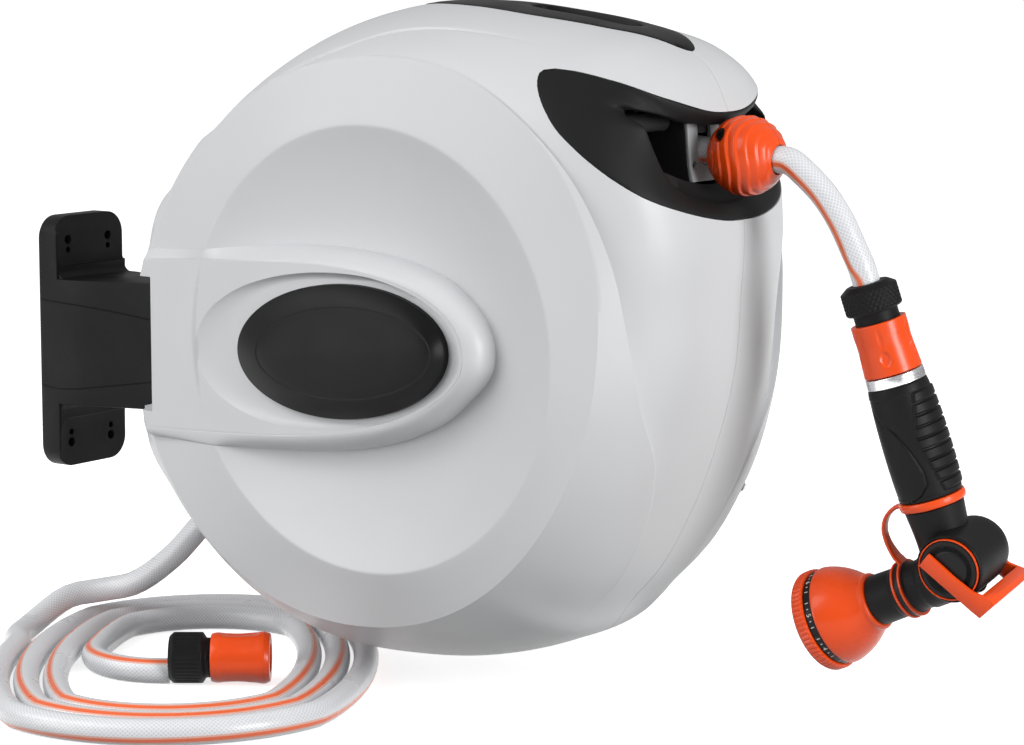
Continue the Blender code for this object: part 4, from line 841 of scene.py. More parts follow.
# Mouth: (distance from the seam, height above the axle) along the edges of the trim and of its opening
TRIM_UPPER = ((0.0, 0.141), (0.018, 0.142), (0.036, 0.146), (0.057, 0.153), (0.07, 0.161), (0.079, 0.167))
TRIM_LOWER = ((0.0, 0.079), (0.022, 0.08), (0.048, 0.085), (0.071, 0.093), (0.085, 0.103),
              (0.094, 0.116), (0.098, 0.131), (0.096, 0.146), (0.089, 0.159))
MOUTH_UPPER = ((0.0, 0.133), (0.015, 0.1338), (0.032, 0.1362), (0.049, 0.1403), (0.062, 0.1436),
               (0.0672, 0.144))
MOUTH_LOWER = ((0.0, 0.0886), (0.022, 0.0908), (0.038, 0.0949), (0.0472, 0.1004), (0.0551, 0.1092),
               (0.0622, 0.124), (0.0668, 0.138))


def eye_outline(upper, lower):
    right = list(upper) + list(reversed(lower))
    left = [(-y, z) for y, z in reversed(right) if y > 1e-6]
    return right + left


def resampled(outline, count):
    """Points at even steps along a closed outline, smoothed through its keys."""
    closed = [Vector(p) for p in outline]
    fine = along_curve([closed[-1]] + closed + closed[:2], 12)
    loop = fine + [fine[0]]
    lengths = run_lengths(loop)
    made = []
    for i in range(count):
        want = lengths[-1] * i / count
        made.append((float(np.interp(want, lengths, [p[0] for p in loop])),
                     float(np.interp(want, lengths, [p[1] for p in loop]))))
    return made


def grown(outline, distance):
    moved = []
    for i, point in enumerate(outline):
        before = (Vector(point) - Vector(outline[i - 1])).normalized()
        after = (Vector(outline[(i + 1) % len(outline)]) - Vector(point)).normalized()
        along = (before + after).normalized()
        reach = distance / max(along.dot(before), 0.3)
        moved.append((point[0] - along.y * reach, point[1] + along.x * reach))
    return moved


FRONT_PLACE = Matrix.Translation(AXLE) @ FACING_FRONT
INSERT_CENTRE_X = 0.06
INSERT_HALF = (0.095, 0.031)
INSERT_BOTTOM = 0.172
SLOT_CENTRE_X = 0.082
SLOT_HALF = (0.036, 0.012)
SLOT_BOTTOM = 0.18
POSTS = ((-0.118, 0.12), (-0.13, -0.128), (0.07, -0.164), (0.146, -0.092))
PIN_HOLE_RADIUS = 0.0053
NOTCH_HALF_HEIGHT = 0.0443
NOTCH_FRONT_X = 0.136
NOTCH_SIDE_X = 0.1405
NOTCH_RIM_X = 0.16
NOTCH_RIM = (-0.024, 0.06)
GLAND_POINT = AXLE + Vector((-0.196, 0.0, -0.128))
GLAND_AXIS = Vector((-0.8, -0.22, -0.56)).normalized()


def notch_mesh(name, wall):
    """The notch around the bracket's neck, which opens towards both sides."""
    back = SWIVEL.x - 0.06
    right = [(NOTCH_FRONT_X + wall, 0.03), (NOTCH_SIDE_X + wall, 0.1), (NOTCH_SIDE_X + wall, 0.15)]
    outline = [(back, -0.15), (back, 0.15)] + right[::-1] + [(x, -y) for x, y in right]
    return prism_mesh(name, outline, -NOTCH_HALF_HEIGHT - wall, NOTCH_HALF_HEIGHT + wall, Matrix.Identity(4))


def notch_rim_mesh(name, wall, side):
    """The part of the notch that is cut back further at one side's rim."""
    back = SWIVEL.x - 0.06
    outline = [(back, 0.15), (back, 0.046 - wall), (NOTCH_SIDE_X + wall, 0.046 - wall),
               (NOTCH_RIM_X + wall, 0.1), (NOTCH_RIM_X + wall, 0.15)]
    return prism_mesh(name, [(x, side * y) for x, y in outline], NOTCH_RIM[0] - wall, NOTCH_RIM[1] + wall,
                      Matrix.Identity(4))


def build_shells():
    """Both shells with their relief, seam groove, openings, inner walls and screw holes."""
    cavity = hidden(half_solid("cavity_right", 1, 96, WALL, 0.009))
    other = hidden(half_solid("cavity_left", -1, 96, WALL, 0.009))
    walls = hidden(notch_mesh("notch_walls", WALL))
    lugs = [cylinder_cutter(f"lug_{end}", 0.013, (SWIVEL.x, 0, end * (NOTCH_HALF_HEIGHT - 0.002)),
                            (SWIVEL.x, 0, end * 0.066)) for end in (1, -1)]
    notch = hidden(notch_mesh("notch", 0.0))
    eye = hidden(prism_mesh("eye", resampled(eye_outline(TRIM_UPPER, TRIM_LOWER), 160), 0.1, 0.26,
                            FRONT_PLACE))
    insert_hole = hidden(prism_mesh("insert_hole", ellipse_outline(INSERT_HALF[0] + GAP,
                                                                   INSERT_HALF[1] + GAP, 96,
                                                                   (INSERT_CENTRE_X, 0)),
                                    INSERT_BOTTOM - 0.02, 0.26, Matrix.Translation(AXLE)))
    pin = cylinder_cutter("pin_hole", PIN_HOLE_RADIUS, (SWIVEL.x, 0, -0.0625), (SWIVEL.x, 0, 0.0625))
    axle_hole = cylinder_cutter("axle_hole", 0.0123, AXLE - Vector((0, 0.093, 0)),
                                AXLE + Vector((0, 0.093, 0)))
    gland = cylinder_cutter("gland_hole", 0.0128, GLAND_POINT - 0.03 * GLAND_AXIS,
                            GLAND_POINT + 0.05 * GLAND_AXIS)
    holes = []
    for number, (x, z) in enumerate(POSTS):
        at = AXLE + Vector((x, 0, z))
        holes.append(cylinder_cutter(f"screw_hole_{number}", 0.0047, at + Vector((0, 0.072, 0)),
                                     at + Vector((0, 0.15, 0)), 24))
    for tool in [walls] + lugs:
        combine(cavity, tool)
        combine(other, tool)
    for name, side, hollow in (("left_shell", -1, other), ("right_shell", 1, cavity)):
        combine(hollow, hidden(notch_rim_mesh(name + "_rim_wall", WALL, side)))
        rim = hidden(notch_rim_mesh(name + "_rim", 0.0, side))
        mesh = half_solid(name + "_skin", side, 180 * FINE, 0.0, 0.0032 / FINE)
        shell = piece(name + "_skin", mesh, "casing", "light_shell", (name,))
        combine(shell, hidden(wing_mesh(name + "_wing", side)), "UNION")
        tools = [hollow, notch, rim, eye, insert_hole, pin, axle_hole, gland] + (holes if side > 0 else [])
        for tool in tools:
            combine(shell, tool)
        apply_modifiers(shell, 28)
    clear_cutters()


SHELF_RISE = 0.01
# The guide's front edge, which the mouth's frame stays ahead of: height above the axle, distance ahead of it
GUIDE_FRONT = ((0.084, 0.149), (0.095, 0.164), (0.0985, 0.1692), (0.111, 0.1672), (0.137, 0.1646),
               (0.1405, 0.164), (0.144, 0.158), (0.147, 0.13))


def room_for_frame(y, z):
    """How far behind the casing's face the mouth's frame may reach without touching the guide."""
    heights, fronts = zip(*GUIDE_FRONT)
    limit = float(np.interp(z, heights, fronts))
    beside = float(ease(0.0655, 0.07, np.array(abs(y))))
    return max(0.0035, crown_front(y, z) - limit) + 0.03 * beside


def build_trim():
    """Mouth trim: a black dished frame that falls in towards its opening."""
    count = 200
    outer = resampled(eye_outline(TRIM_UPPER, TRIM_LOWER), count)
    outer = grown(outer, -0.0004)
    inner = resampled(eye_outline(MOUTH_UPPER, MOUTH_LOWER), count)
    levels = ((0.0, -0.0035, 0), (0.0, -0.0012, 0), (0.012, -0.0005, 0), (0.1, -0.0006, 0),
              (0.25, -0.0012, 0),
              (0.42, -0.0024, 0), (0.58, -0.004, 0), (0.72, -0.0058, 0), (0.84, -0.0076, 0),
              (0.93, -0.0092, 0),
              (0.965, -0.0099, 0), (0.985, -0.0108, 0), (1.0, -0.0125, 0.02), (1.0, -0.018, 0.4),
              (1.0, -0.0255, 1.0),
              (1.0, -0.0265, 1.0), (0.965, -0.024, 0.5), (0.93, -0.02, 0), (0.8, -0.015, 0), (0.6, -0.01, 0),
              (0.35, -0.0066, 0), (0.0, -0.005, 0))
    points = []
    for share, depth, rise in levels:
        for (y0, z0), (y1, z1) in zip(outer, inner):
            y, z = y0 + (y1 - y0) * share, z0 + (z1 - z0) * share
            shelf = SHELF_RISE * rise * float(1 - ease(0.093, 0.114, np.array(z1)))
            flat = min(1.0, room_for_frame(y1, z1) * 0.7 / 0.0108)
            face = 1 - (1 - flat) * float(ease(0.2, 0.97, np.array(share)))
            room = room_for_frame(y, z + shelf)
            depth_here = depth * face if depth > -0.013 else -min(-depth, room)
            points.append(AXLE + Vector((crown_front(y, z) + depth_here, y, z + shelf)))
    mesh = mesh_from("mouth_frame", points, ring_faces(len(levels), count, True), True)
    piece("mouth_frame", mesh, "casing", "black_plastic", ("mouth_trim",), "trim_black", 50)


def build_insert():
    """Top handle insert: a long lens whose finger slot sinks into it."""
    steps = 120
    outlines = []
    edge = ellipse_outline(INSERT_HALF[0], INSERT_HALF[1], steps)

    def slot_edge(grow):
        made = []
        half_x, half_y = SLOT_HALF[0] + grow, SLOT_HALF[1] + grow
        for x, y in ellipse_outline(1, 1, steps):
            reach = (abs(x) ** 3.2 + abs(y) ** 3.2) ** (-1 / 3.2)
            made.append((SLOT_CENTRE_X - INSERT_CENTRE_X + half_x * x * reach, half_y * y * reach))
        return made

    def mixed(a, b, share):
        return [(p[0] + (q[0] - p[0]) * share, p[1] + (q[1] - p[1]) * share) for p, q in zip(a, b)]

    def surface(outline, lift):
        return [AXLE + Vector((INSERT_CENTRE_X + x, y, crown_top(INSERT_CENTRE_X + x, y) + lift))
                for x, y in outline]

    def level(outline, height):
        return [AXLE + Vector((INSERT_CENTRE_X + x, y, height)) for x, y in outline]

    lip = slot_edge(0.0022)
    outlines.append(level(edge, INSERT_BOTTOM))
    outlines.append(surface(edge, -0.0006))
    outlines.append(surface(mixed(edge, lip, 0.02), 0.0004))
    for share in (0.15, 0.3, 0.5, 0.7, 0.85, 1.0):
        outlines.append(surface(mixed(edge, lip, share), 0.0006))
    outlines.append(surface(slot_edge(0.0008), 0.0))
    outlines.append(surface(slot_edge(0.0002), -0.0016))
    outlines.append(level(slot_edge(-0.0006), SLOT_BOTTOM + 0.004))
    outlines.append(level(slot_edge(-0.0022), SLOT_BOTTOM + 0.001))
    outlines.append(level(slot_edge(-0.0055), SLOT_BOTTOM))
    points = [p for outline in outlines for p in outline]
    faces = [tuple(range(steps))] + ring_faces(len(outlines), steps)
    last = (len(outlines) - 1) * steps
    faces.append(tuple(range(last, last + steps)))
    piece("handle_lens", mesh_from("handle_lens", points, faces, True), "casing", "black_plastic",
          ("handle_insert",), "cap_black", 40)


def build_caps():
    """Oval side caps: a thin edge, a wide bevel, a fine step and a shallow dome."""
    base = WING_HALF_WIDTH - POCKET_DEPTH + 0.0002
    levels = ((0.0, 0.0), (0.0, 0.003), (0.0003, 0.004), (0.001, 0.0046), (0.0035, 0.0064), (0.007, 0.0086),
              (0.0108, 0.0105), (0.0124, 0.0111), (0.013, 0.0109), (0.0136, 0.0109), (0.0144, 0.0112),
              (0.018, 0.0119), (0.023, 0.0126), (0.029, 0.0131), (0.035, 0.0134))
    steps = 144
    for name, side in (("left_cap", -1), ("right_cap", 1)):
        points = []
        c, s = math.cos(WING_TILT), math.sin(WING_TILT)
        for shrink, height in levels:
            across = min(shrink, CAP_BEVEL) * CAP_FACE_SHIFT
            for x, y in ellipse_outline(CAP_HALF[0] - shrink, CAP_HALF[1] - shrink, steps):
                x += CAP_CENTRE.x + across
                points.append(AXLE + Vector((x * c - y * s, side * (base + height), x * s + y * c)))
        middle = CAP_CENTRE.x + CAP_BEVEL * CAP_FACE_SHIFT
        points.append(AXLE + Vector((middle * c, side * (base + 0.0136), middle * s)))
        faces = [tuple(range(steps))] + ring_faces(len(levels), steps)
        last = (len(levels) - 1) * steps
        for i in range(steps):
            faces.append((last + i, last + (i + 1) % steps, len(points) - 1))
        piece(name + "_cover", mesh_from(name + "_cover", points, faces, True), "casing", "black_plastic",
              (name,),
              "cap_black", 24)


# Wall bracket

PLATE_THICKNESS = 0.0165
PLATE_HALF = (0.034, 0.084)
PAD_DEPTH = 0.003
NECK_TOP = 0.043
SEAT_Y = 0.0195
SEAT_Z = 0.068
NECK_HALF_WIDTH = smooth_keys(((0.0, 0.03415), (0.0165, 0.0341), (0.03, 0.0325), (0.046, 0.0287),
                               (0.062, 0.0244),
                               (0.08, 0.02), (0.098, 0.0161), (0.115, 0.0127)))


def build_bracket():
    """Wall bracket: a deep neck flush with a rounded plate, which has a sunk screw pad above and below."""
    plate = piece("bracket_body", prism_mesh("bracket_body", rounded_outline(*PLATE_HALF, 0.015, 10), 0.0,
                                             PLATE_THICKNESS, FACING_FRONT), "bracket", "black_plastic",
                  ("wall_bracket",))
    bevelled(plate, 0.0012, 3, 60)
    apply_modifiers(plate)
    steps = 24
    right = []
    for i in range(steps + 1):
        x = 0.001 + (0.115 - 0.001) * i / steps
        right.append((x, float(NECK_HALF_WIDTH(x))))
    right += [(SWIVEL.x + 0.0125 * math.sin(a), 0.0125 * math.cos(a))
              for a in [math.radians(6 * i) for i in range(5, 15)]]
    outline = right + [(SWIVEL.x + 0.0125, 0.0)] + [(x, -y) for x, y in reversed(right)]
    neck = hidden(prism_mesh("neck", outline, -0.0405, NECK_TOP, Matrix.Identity(4)))
    bevelled(neck, 0.0012, 2, 50)
    combine(plate, neck, "UNION")
    for end in (1, -1):
        corner = [(0.0005, 0.0)]
        for i in range(9):
            a = math.radians(90 * i / 8)
            corner.append((PLATE_THICKNESS + 0.0075 * (1 - math.sin(a)) - 0.0005,
                           0.0075 * (1 - math.cos(a))))
        level = NECK_TOP - 0.0005 if end > 0 else 0.04
        fillet = [(x, end * (level + z)) for x, z in corner[:1] + [(corner[1][0], 0.0)] + corner[1:]]
        fillet.append((0.0005, end * (level + 0.0075)))
        combine(plate, hidden(prism_mesh(f"neck_fillet_{end}", fillet, -0.0325, 0.0325, FACING_SIDE)),
                "UNION")
    for end in (1, -1):
        pad = bpy.data.objects.new("pad", prism_mesh("pad", rounded_outline(0.037, 0.0225, 0.0095, 8),
                                                     PLATE_THICKNESS - PAD_DEPTH, PLATE_THICKNESS + 0.02,
                                                     Matrix.Translation((0, 0.004,
                                                                         end * 0.0733)) @ FACING_FRONT))
        SCENE.collection.objects.link(pad)
        bevelled(pad, 0.0016, 3, 60)
        CUTTERS.append(pad)
        pad.hide_render = True
        combine(plate, pad)
    pin_hole = cylinder_cutter("bracket_pin_hole", PIN_HOLE_RADIUS, (SWIVEL.x, 0, -0.08), (SWIVEL.x, 0, 0.08))
    combine(plate, pin_hole)
    for number, (y, z) in enumerate(((-SEAT_Y, SEAT_Z), (SEAT_Y, SEAT_Z), (-SEAT_Y, -SEAT_Z),
                                     (SEAT_Y, -SEAT_Z))):
        hole = ((0, -0.01), (0.0026, -0.01), (0.0026, 0.0122), (0.0033, 0.0138), (0.0033, 0.03), (0, 0.03))
        combine(plate, hidden(revolved(f"screw_seat_{number}", hole, 32, facing((1, 0, 0), (0, y, z)))))
        side = 0.0068 if z > 0 else -0.0068
        small = ((0, 0.008), (0.0021, 0.008), (0.0021, 0.03), (0, 0.03))
        combine(plate, hidden(revolved(f"key_hole_{number}", small, 24,
                                       facing((1, 0, 0), (0, y, z - side)))))
    for points in (((0.0, 0.029), (0.035, 0.0262), (0.07, 0.0215), (0.112, 0.014)),
                   ((0.0, -0.0285), (0.022, -0.03), (0.06, -0.0255), (0.112, -0.018))):
        path = []
        for x, z in smooth_loop(points, 8):
            path.append(Vector((x, -float(NECK_HALF_WIDTH(max(x, 0.001))) + 0.00012, z)))
        combine(plate, hidden(round_bar(f"neck_line_{len(plate.modifiers)}", path, 0.00055)))
    apply_modifiers(plate, 32)
    clear_cutters()


def round_bar(name, path, radius, sides=8):
    """A round bar along a path."""
    points = []
    for i, p in enumerate(path):
        ahead = (path[min(i + 1, len(path) - 1)] - path[max(i - 1, 0)]).normalized()
        across = ahead.cross(Vector((0, 0, 1))).normalized()
        above = across.cross(ahead)
        for k in range(sides):
            a = 2 * math.pi * (k + 0.3) / sides
            points.append(p + (across * math.cos(a) + above * math.sin(a)) * radius)
    faces = ring_faces(len(path), sides)
    faces += [tuple(range(sides)), tuple(range(len(points) - sides, len(points)))]
    return mesh_from(name, points, faces, True)


# Hoses

def tube_mesh(name, path, radius, stripe, sides=40):
    """A tube along a path. stripe(share along) is where its stripe lies, in degrees from outwards."""
    path = [Vector(p) for p in path]
    lengths = run_lengths(path)
    points, corners = [], []
    rows = []
    side = None
    for i, p in enumerate(path):
        ahead = (path[min(i + 1, len(path) - 1)] - path[max(i - 1, 0)]).normalized()
        across = ahead.cross(Vector((0, 0, 1)))
        if across.length < 0.2 and side is not None:
            across = side
        across = (across - ahead * across.dot(ahead)).normalized()
        if side is not None and across.dot(side) < 0:
            across = -across
        side = across
        above = across.cross(ahead)
        twist = math.radians(stripe(lengths[i] / lengths[-1]))
        rows.append(list(range(len(points), len(points) + sides)))
        for k in range(sides):
            a = 2 * math.pi * (k - STRIPE_FACE) / sides + twist
            points.append(p + (across * math.cos(a) + above * math.sin(a)) * radius)
    faces, kinds = [], []
    for i, (low, high) in enumerate(zip(rows, rows[1:])):
        for k in range(sides):
            j = (k + 1) % sides
            faces.append((low[k], high[k], high[j], low[j]))
            corners.append(((lengths[i], k), (lengths[i + 1], k), (lengths[i + 1], k + 1),
                            (lengths[i], k + 1)))
            kinds.append(1 if k in (STRIPE_FACE - 1, STRIPE_FACE) else
                         2 if k in (STRIPE_FACE - 2, STRIPE_FACE + 1) else 0)
    faces += [tuple(rows[0]), tuple(reversed(rows[-1]))]
    corners += [tuple((0.0, k) for k in range(sides)), tuple((lengths[-1], k) for k in range(sides))]
    kinds += [0, 0]
    mesh = bpy.data.meshes.new(name)
    mesh.from_pydata([tuple(p) for p in points], [], faces)
    layer = mesh.uv_layers.new(name=HOSE_MAP)
    spot = 0
    for face in corners:
        for along, k in face:
            layer.data[spot].uv = (along, 2 * math.pi * k / sides)
            spot += 1
    for kind, polygon in zip(kinds, mesh.polygons):
        polygon.material_index = kind
    for paint in ("hose", "hose_stripe", "hose_stripe_edge"):
        mesh.materials.append(PAINTS[paint])
    return mesh, lengths[-1]


STRIPE_FACE = 4


def smooth_path(points, spacing):
    """Points at an even spacing along a smooth curve through the given ones."""
    points = [Vector(p) for p in points]
    ends = [2 * points[0] - points[1]] + points + [2 * points[-1] - points[-2]]
    fine = along_curve(ends, 24) + [points[-1]]
    lengths = run_lengths(fine)
    count = max(2, round(lengths[-1] / spacing) + 1)
    return [Vector([float(np.interp(lengths[-1] * i / (count - 1), lengths, [p[k] for p in fine]))
                    for k in range(3)]) for i in range(count)]


BALL = AXLE + Vector((0.193, 0.0, 0.116))
BALL_TILT = math.radians(-4)
BALL_RADIUS = 0.0235
BALL_AHEAD = Vector((math.cos(BALL_TILT), 0, math.sin(BALL_TILT)))
# Free hose from the stopper ball to the spray gun, and the lead-in hose to its coil, as in the solids
HOSE_END_ROUTE = ((0.231, 0.0, 0.1078), (0.244, 0.0005, 0.096), (0.2545, 0.001, 0.082),
                  (0.2625, 0.002, 0.0665))
LEAD_ROUTE = ((0.09, -0.006, -0.139), (0.06, -0.009, -0.16), (0.035, -0.0165, -0.167),
              (0.019, -0.033, -0.1712), (0.014, -0.062, -0.185), (0.0255, -0.088, -0.187))
COIL_CENTRE = Vector((0.1675, -0.079, FLOOR_Z + HOSE_RADIUS))
COIL_RIGHT = Vector((0.819, 0.574, 0.0)).normalized()
COIL_BACK = Vector((-0.574, 0.819, 0.0)).normalized()
COIL_START = math.radians(170)
COIL_LOOP_POINTS = 72
COIL_RADII = (0.12, 0.0655)
COIL_HALF_STRAIGHT = 0.064
COIL_END_RADIUS = 0.05
LOOP_POINTS = 24


def coil_points(finer=3):
    """Loops with two round ends that spiral inwards on the floor, then an even turn to the connector."""
    points = []
    for i in range(COIL_LOOP_POINTS * finer + 1):
        loops = i / finer / LOOP_POINTS
        a = COIL_START + 2 * math.pi * loops
        radius = COIL_RADII[0] + (COIL_RADII[1] - COIL_RADII[0]) * loops / 3
        stretch = COIL_HALF_STRAIGHT * min(max(1.6 * math.sin(a), -1.0), 1.0)
        points.append(COIL_CENTRE + COIL_RIGHT * radius * math.cos(a)
                      + COIL_BACK * (radius * math.sin(a) + stretch))
    heading = (points[-1] - points[-2]).normalized()
    turn = math.atan2(-heading.dot(COIL_BACK), heading.dot(COIL_RIGHT))
    steps = 8 * finer
    for i in range(steps):
        middle = turn * (1 - (i + 0.5) / steps)
        step = COIL_END_RADIUS * turn / steps
        points.append(points[-1] + (COIL_RIGHT * math.cos(middle) - COIL_BACK * math.sin(middle)) * step)
    points.append(points[-1] + COIL_RIGHT * 0.003)
    return points


def build_hoses():
    """The run of hose in the casing, its free end, and the lead-in hose, as striped tubes."""
    run = [AXLE + Vector((0.08, 0, 0.1225)), AXLE + Vector((0.105, 0, 0.12)),
           BALL - BALL_AHEAD * (BALL_RADIUS + 0.016), BALL - BALL_AHEAD * (BALL_RADIUS + 0.003), BALL,
           BALL + BALL_AHEAD * 0.008]
    mesh, _ = tube_mesh("hose_inside", smooth_path(run, 0.004), HOSE_RADIUS, lambda s: -40)
    piece("hose_inside", mesh, "carriage", "hose", ("hose_run",))
    start = run[-1] + BALL_AHEAD * 0.0006
    route = [start, start + BALL_AHEAD * 0.01, start + BALL_AHEAD * 0.02]
    route += [AXLE + Vector(p) for p in HOSE_END_ROUTE] + [GUN_TOP - GUN_AXIS * 0.009,
                                                           GUN_TOP - GUN_AXIS * GAP]
    path = smooth_path(route, 0.003)
    mesh, length = tube_mesh("hose_free_end", path, HOSE_RADIUS, lambda s: -14 - 20 * s)
    free = piece("hose_free_end", mesh, "carriage", "hose", ("hose_end",))
    coil = coil_points()
    heading = (coil[0] - coil[1]).normalized()
    route = [GLAND_POINT - GLAND_AXIS * 0.012, GLAND_POINT + GLAND_AXIS * 0.006,
             GLAND_POINT + GLAND_AXIS * 0.024]
    route += [Vector(p) for p in LEAD_ROUTE] + [coil[0] + heading * 0.016, coil[0] + heading * GAP]
    lead = smooth_path(route, 0.0075)
    lead_share = 0.105
    turning = smooth_keys(((0.0, -75), (lead_share, -62), (0.2, -24), (0.3, -14), (0.4, 40), (0.55, 62),
                           (0.75, 60), (0.9, 60), (1.0, 60)))
    mesh, length = tube_mesh("lead_in_hose", lead + coil, HOSE_RADIUS, lambda s: float(turning(s)))
    hose = piece("lead_in_hose", mesh, "casing", "hose", ("lead_hose", "lead_coil"))
    place = facing(COIL_RIGHT, coil[-1] + Vector((0, 0, 0.0085)), (0, 0, 1))
    nut, connector = build_connector(place)
    gland = build_gland()


def build_gland():
    """Rubber gland that narrows along the lead-in hose."""
    profile = rounded_profile(((0.0088, -0.006), (0.0122, -0.006), (0.0122, 0.0), (0.015, 0.0),
                               (0.015, 0.006),
                               (0.0112, 0.016), (0.0088, 0.016)), 0.0008)
    place = facing(GLAND_AXIS, GLAND_POINT + GLAND_AXIS * 0.004)
    return piece("gland", revolved("gland", profile, 48, place, True), "casing", "black_plastic",
                 ("lead_gland",))


def knurl(depth, count, pitch, low, high):
    """A crossed knurl between two heights."""
    def shape(radius, height, angle):
        if not low < height < high:
            return radius
        lead = 2 * math.pi * (height - low) / pitch
        one = abs(math.sin((count * angle + lead) / 2))
        other = abs(math.sin((count * angle - lead) / 2))
        return radius - depth * (1 - min(one, other) ** 0.7)
    return shape


def build_connector(place):
    """Ribbed nut and glossy quick connector on the lead-in hose's end."""
    def ribs(radius, height, angle):
        if 0.004 < height < 0.0205 and radius > 0.015:
            return radius - 0.0005 * (0.5 + 0.5 * math.cos(36 * angle))
        return radius

    profile = rounded_profile(((0, GAP), (0.0135, GAP), (0.016, 0.003), (0.016, 0.0212), (0.0125, 0.0235),
                               (0.0125, 0.0262), (0, 0.0262)), 0.0006)
    dense = smooth_profile(profile, 0.0012)
    nut = piece("lead_hose_nut", revolved("lead_hose_nut", dense, 144, place, False, ribs), "casing",
                "black_plastic", ("lead_nut",))

    def flats(radius, height, angle):
        if radius < 0.012:
            return radius
        flat = max(0.0, math.cos(2 * angle)) ** 6
        zone = float(ease(0.031, 0.036, height) * (1 - ease(0.054, 0.058, height)))
        wave = 0.5 + 0.5 * math.cos(8 * angle)
        return radius - 0.001 * flat * zone - 0.0004 * wave * zone

    profile = rounded_profile(((0.0075, 0.045), (0.0075, 0.0265, 0), (0.015, 0.0265), (0.0158, 0.03, 0.002),
                               (0.0152, 0.044, 0.004), (0.016, 0.053, 0.003), (0.0164, 0.06),
                               (0.015, 0.0635), (0.0095, 0.0635), (0.0095, 0.045), (0.0075, 0.045)), 0.0007)
    dense = smooth_profile(profile, 0.0012)
    connector = piece("lead_quick_connector", revolved("lead_quick_connector", dense[:-1], 96, place, True,
                                                       flats),
                      "casing", "orange_plastic", ("lead_connector",))
    return nut, connector


# Winding: turns of the outer layer, their pitch and radius, and the layer under it
WOUND_TURNS = 5.5
TURN_PITCH = 0.0165
WOUND_RADIUS = 0.128
UNDER_HALF_WIDTH = 0.0542
UNDER_INNER_RADIUS = 0.0453
UNDER_RADIUS = 0.1096


def build_winding():
    """The outer layer of hose on the drum, and the ribbed surface of the layer under it."""
    count = round(WOUND_TURNS * 60)
    path = []
    for i in range(count + 1):
        share = i / count
        a = math.radians(176) + 2 * math.pi * WOUND_TURNS * share
        path.append(AXLE + Vector((WOUND_RADIUS * math.cos(a), (share - 0.5) * TURN_PITCH * WOUND_TURNS,
                                   WOUND_RADIUS * math.sin(a))))
    mesh, _ = tube_mesh("wound_hose", path, HOSE_RADIUS, lambda s: 20 + 400 * s, 24)
    piece("wound_hose", mesh, "drum", "hose", ("outer_wraps",))
    half = UNDER_HALF_WIDTH
    profile = [(UNDER_INNER_RADIUS, -half)]
    for i in range(60):
        y = -half + 2 * half * i / 59
        across = (y + half) % TURN_PITCH - TURN_PITCH / 2
        profile.append((UNDER_RADIUS + math.sqrt(max(0.0, HOSE_RADIUS ** 2 - across ** 2)), y))
    profile.append((UNDER_INNER_RADIUS, half))
    place = Matrix.Translation(AXLE) @ Matrix.Rotation(math.radians(-90), 4, "X")
    piece("under_layer", revolved("under_layer", profile, 96, place, True), "drum", "hose", ("inner_wraps",),
          "nylon")


GUIDE_HALF_WIDTH = 0.0176
FORK_HALF_WIDTH = 0.0072
FORK_HEIGHT = 0.1197
FORK_DEPTH = 0.0105


def build_guide():
    """Hose guide: a dark carriage on the rod and the screw, and a pale forked plate with two small holes."""
    screw = joint_place("screw_spin") - AXLE
    rod = Vector((0.146, 0.0, 0.135))
    side = Matrix.Translation(AXLE) @ FACING_SIDE
    back = ((0.119, 0.0865), (0.148, 0.0865), (0.165, 0.101), (0.1632, 0.115), (0.1612, 0.138),
            (0.157, 0.142), (0.136, 0.144), (0.119, 0.1335))
    mesh = prism_mesh("guide_carriage", back, -GUIDE_HALF_WIDTH, GUIDE_HALF_WIDTH, side)
    made = piece("guide_carriage", mesh, "carriage", "black_plastic", (), "dark_plastic")
    bevelled(made, 0.0008, 2, 30)
    combine(made, hidden(prism_mesh("guide_hollow", ((0.1215, 0.089), (0.19, 0.089), (0.19, 0.128),
                                                     (0.1215, 0.128)), -0.0158, 0.0158, side)))
    for at, radius, key in ((rod, 0.0058, "rod"), (screw, 0.0073, "screw")):
        combine(made, cylinder_cutter(f"guide_{key}_bore", radius, AXLE + Vector((at.x, -0.1, at.z)),
                                      AXLE + Vector((at.x, 0.1, at.z))))
    combine(made, cylinder_cutter("guide_hose_bore", HOSE_BORE_RADIUS, AXLE + Vector((0.105, 0, 0.1197)),
                                  AXLE + Vector((0.1285, 0, 0.1186))))
    apply_modifiers(made, 32)
    front = ((0.165, 0.1005), (0.168, 0.1005), (0.1658, 0.11), (0.1632, 0.136), (0.1628, 0.139),
             (0.1606, 0.139), (0.161, 0.136), (0.1632, 0.11))
    mesh = prism_mesh("guide_plate", front, -GUIDE_HALF_WIDTH, GUIDE_HALF_WIDTH, side)
    plate = piece("guide_plate", mesh, "carriage", "guide_grey", ("hose_guide",))
    bevelled(plate, 0.0005, 2, 40)
    fork = [(-FORK_HALF_WIDTH, 0.2), (-FORK_HALF_WIDTH, FORK_HEIGHT)]
    for i in range(1, 12):
        a = math.radians(180 + 15 * i)
        fork.append((FORK_HALF_WIDTH * math.cos(a), FORK_HEIGHT + FORK_DEPTH * math.sin(a)))
    fork += [(FORK_HALF_WIDTH, FORK_HEIGHT), (FORK_HALF_WIDTH, 0.2)]
    combine(plate, hidden(prism_mesh("guide_fork", fork, 0.14, 0.2, FRONT_PLACE)))
    for across in (-1, 1):
        at = AXLE + Vector((0, across * 0.0125, 0.1098))
        combine(plate, cylinder_cutter(f"guide_hole_{across}", 0.0026, at + Vector((0.13, 0, 0)),
                                       at + Vector((0.2, 0, 0)), 24))
    apply_modifiers(plate, 32)
    clear_cutters()


# Stopper ball

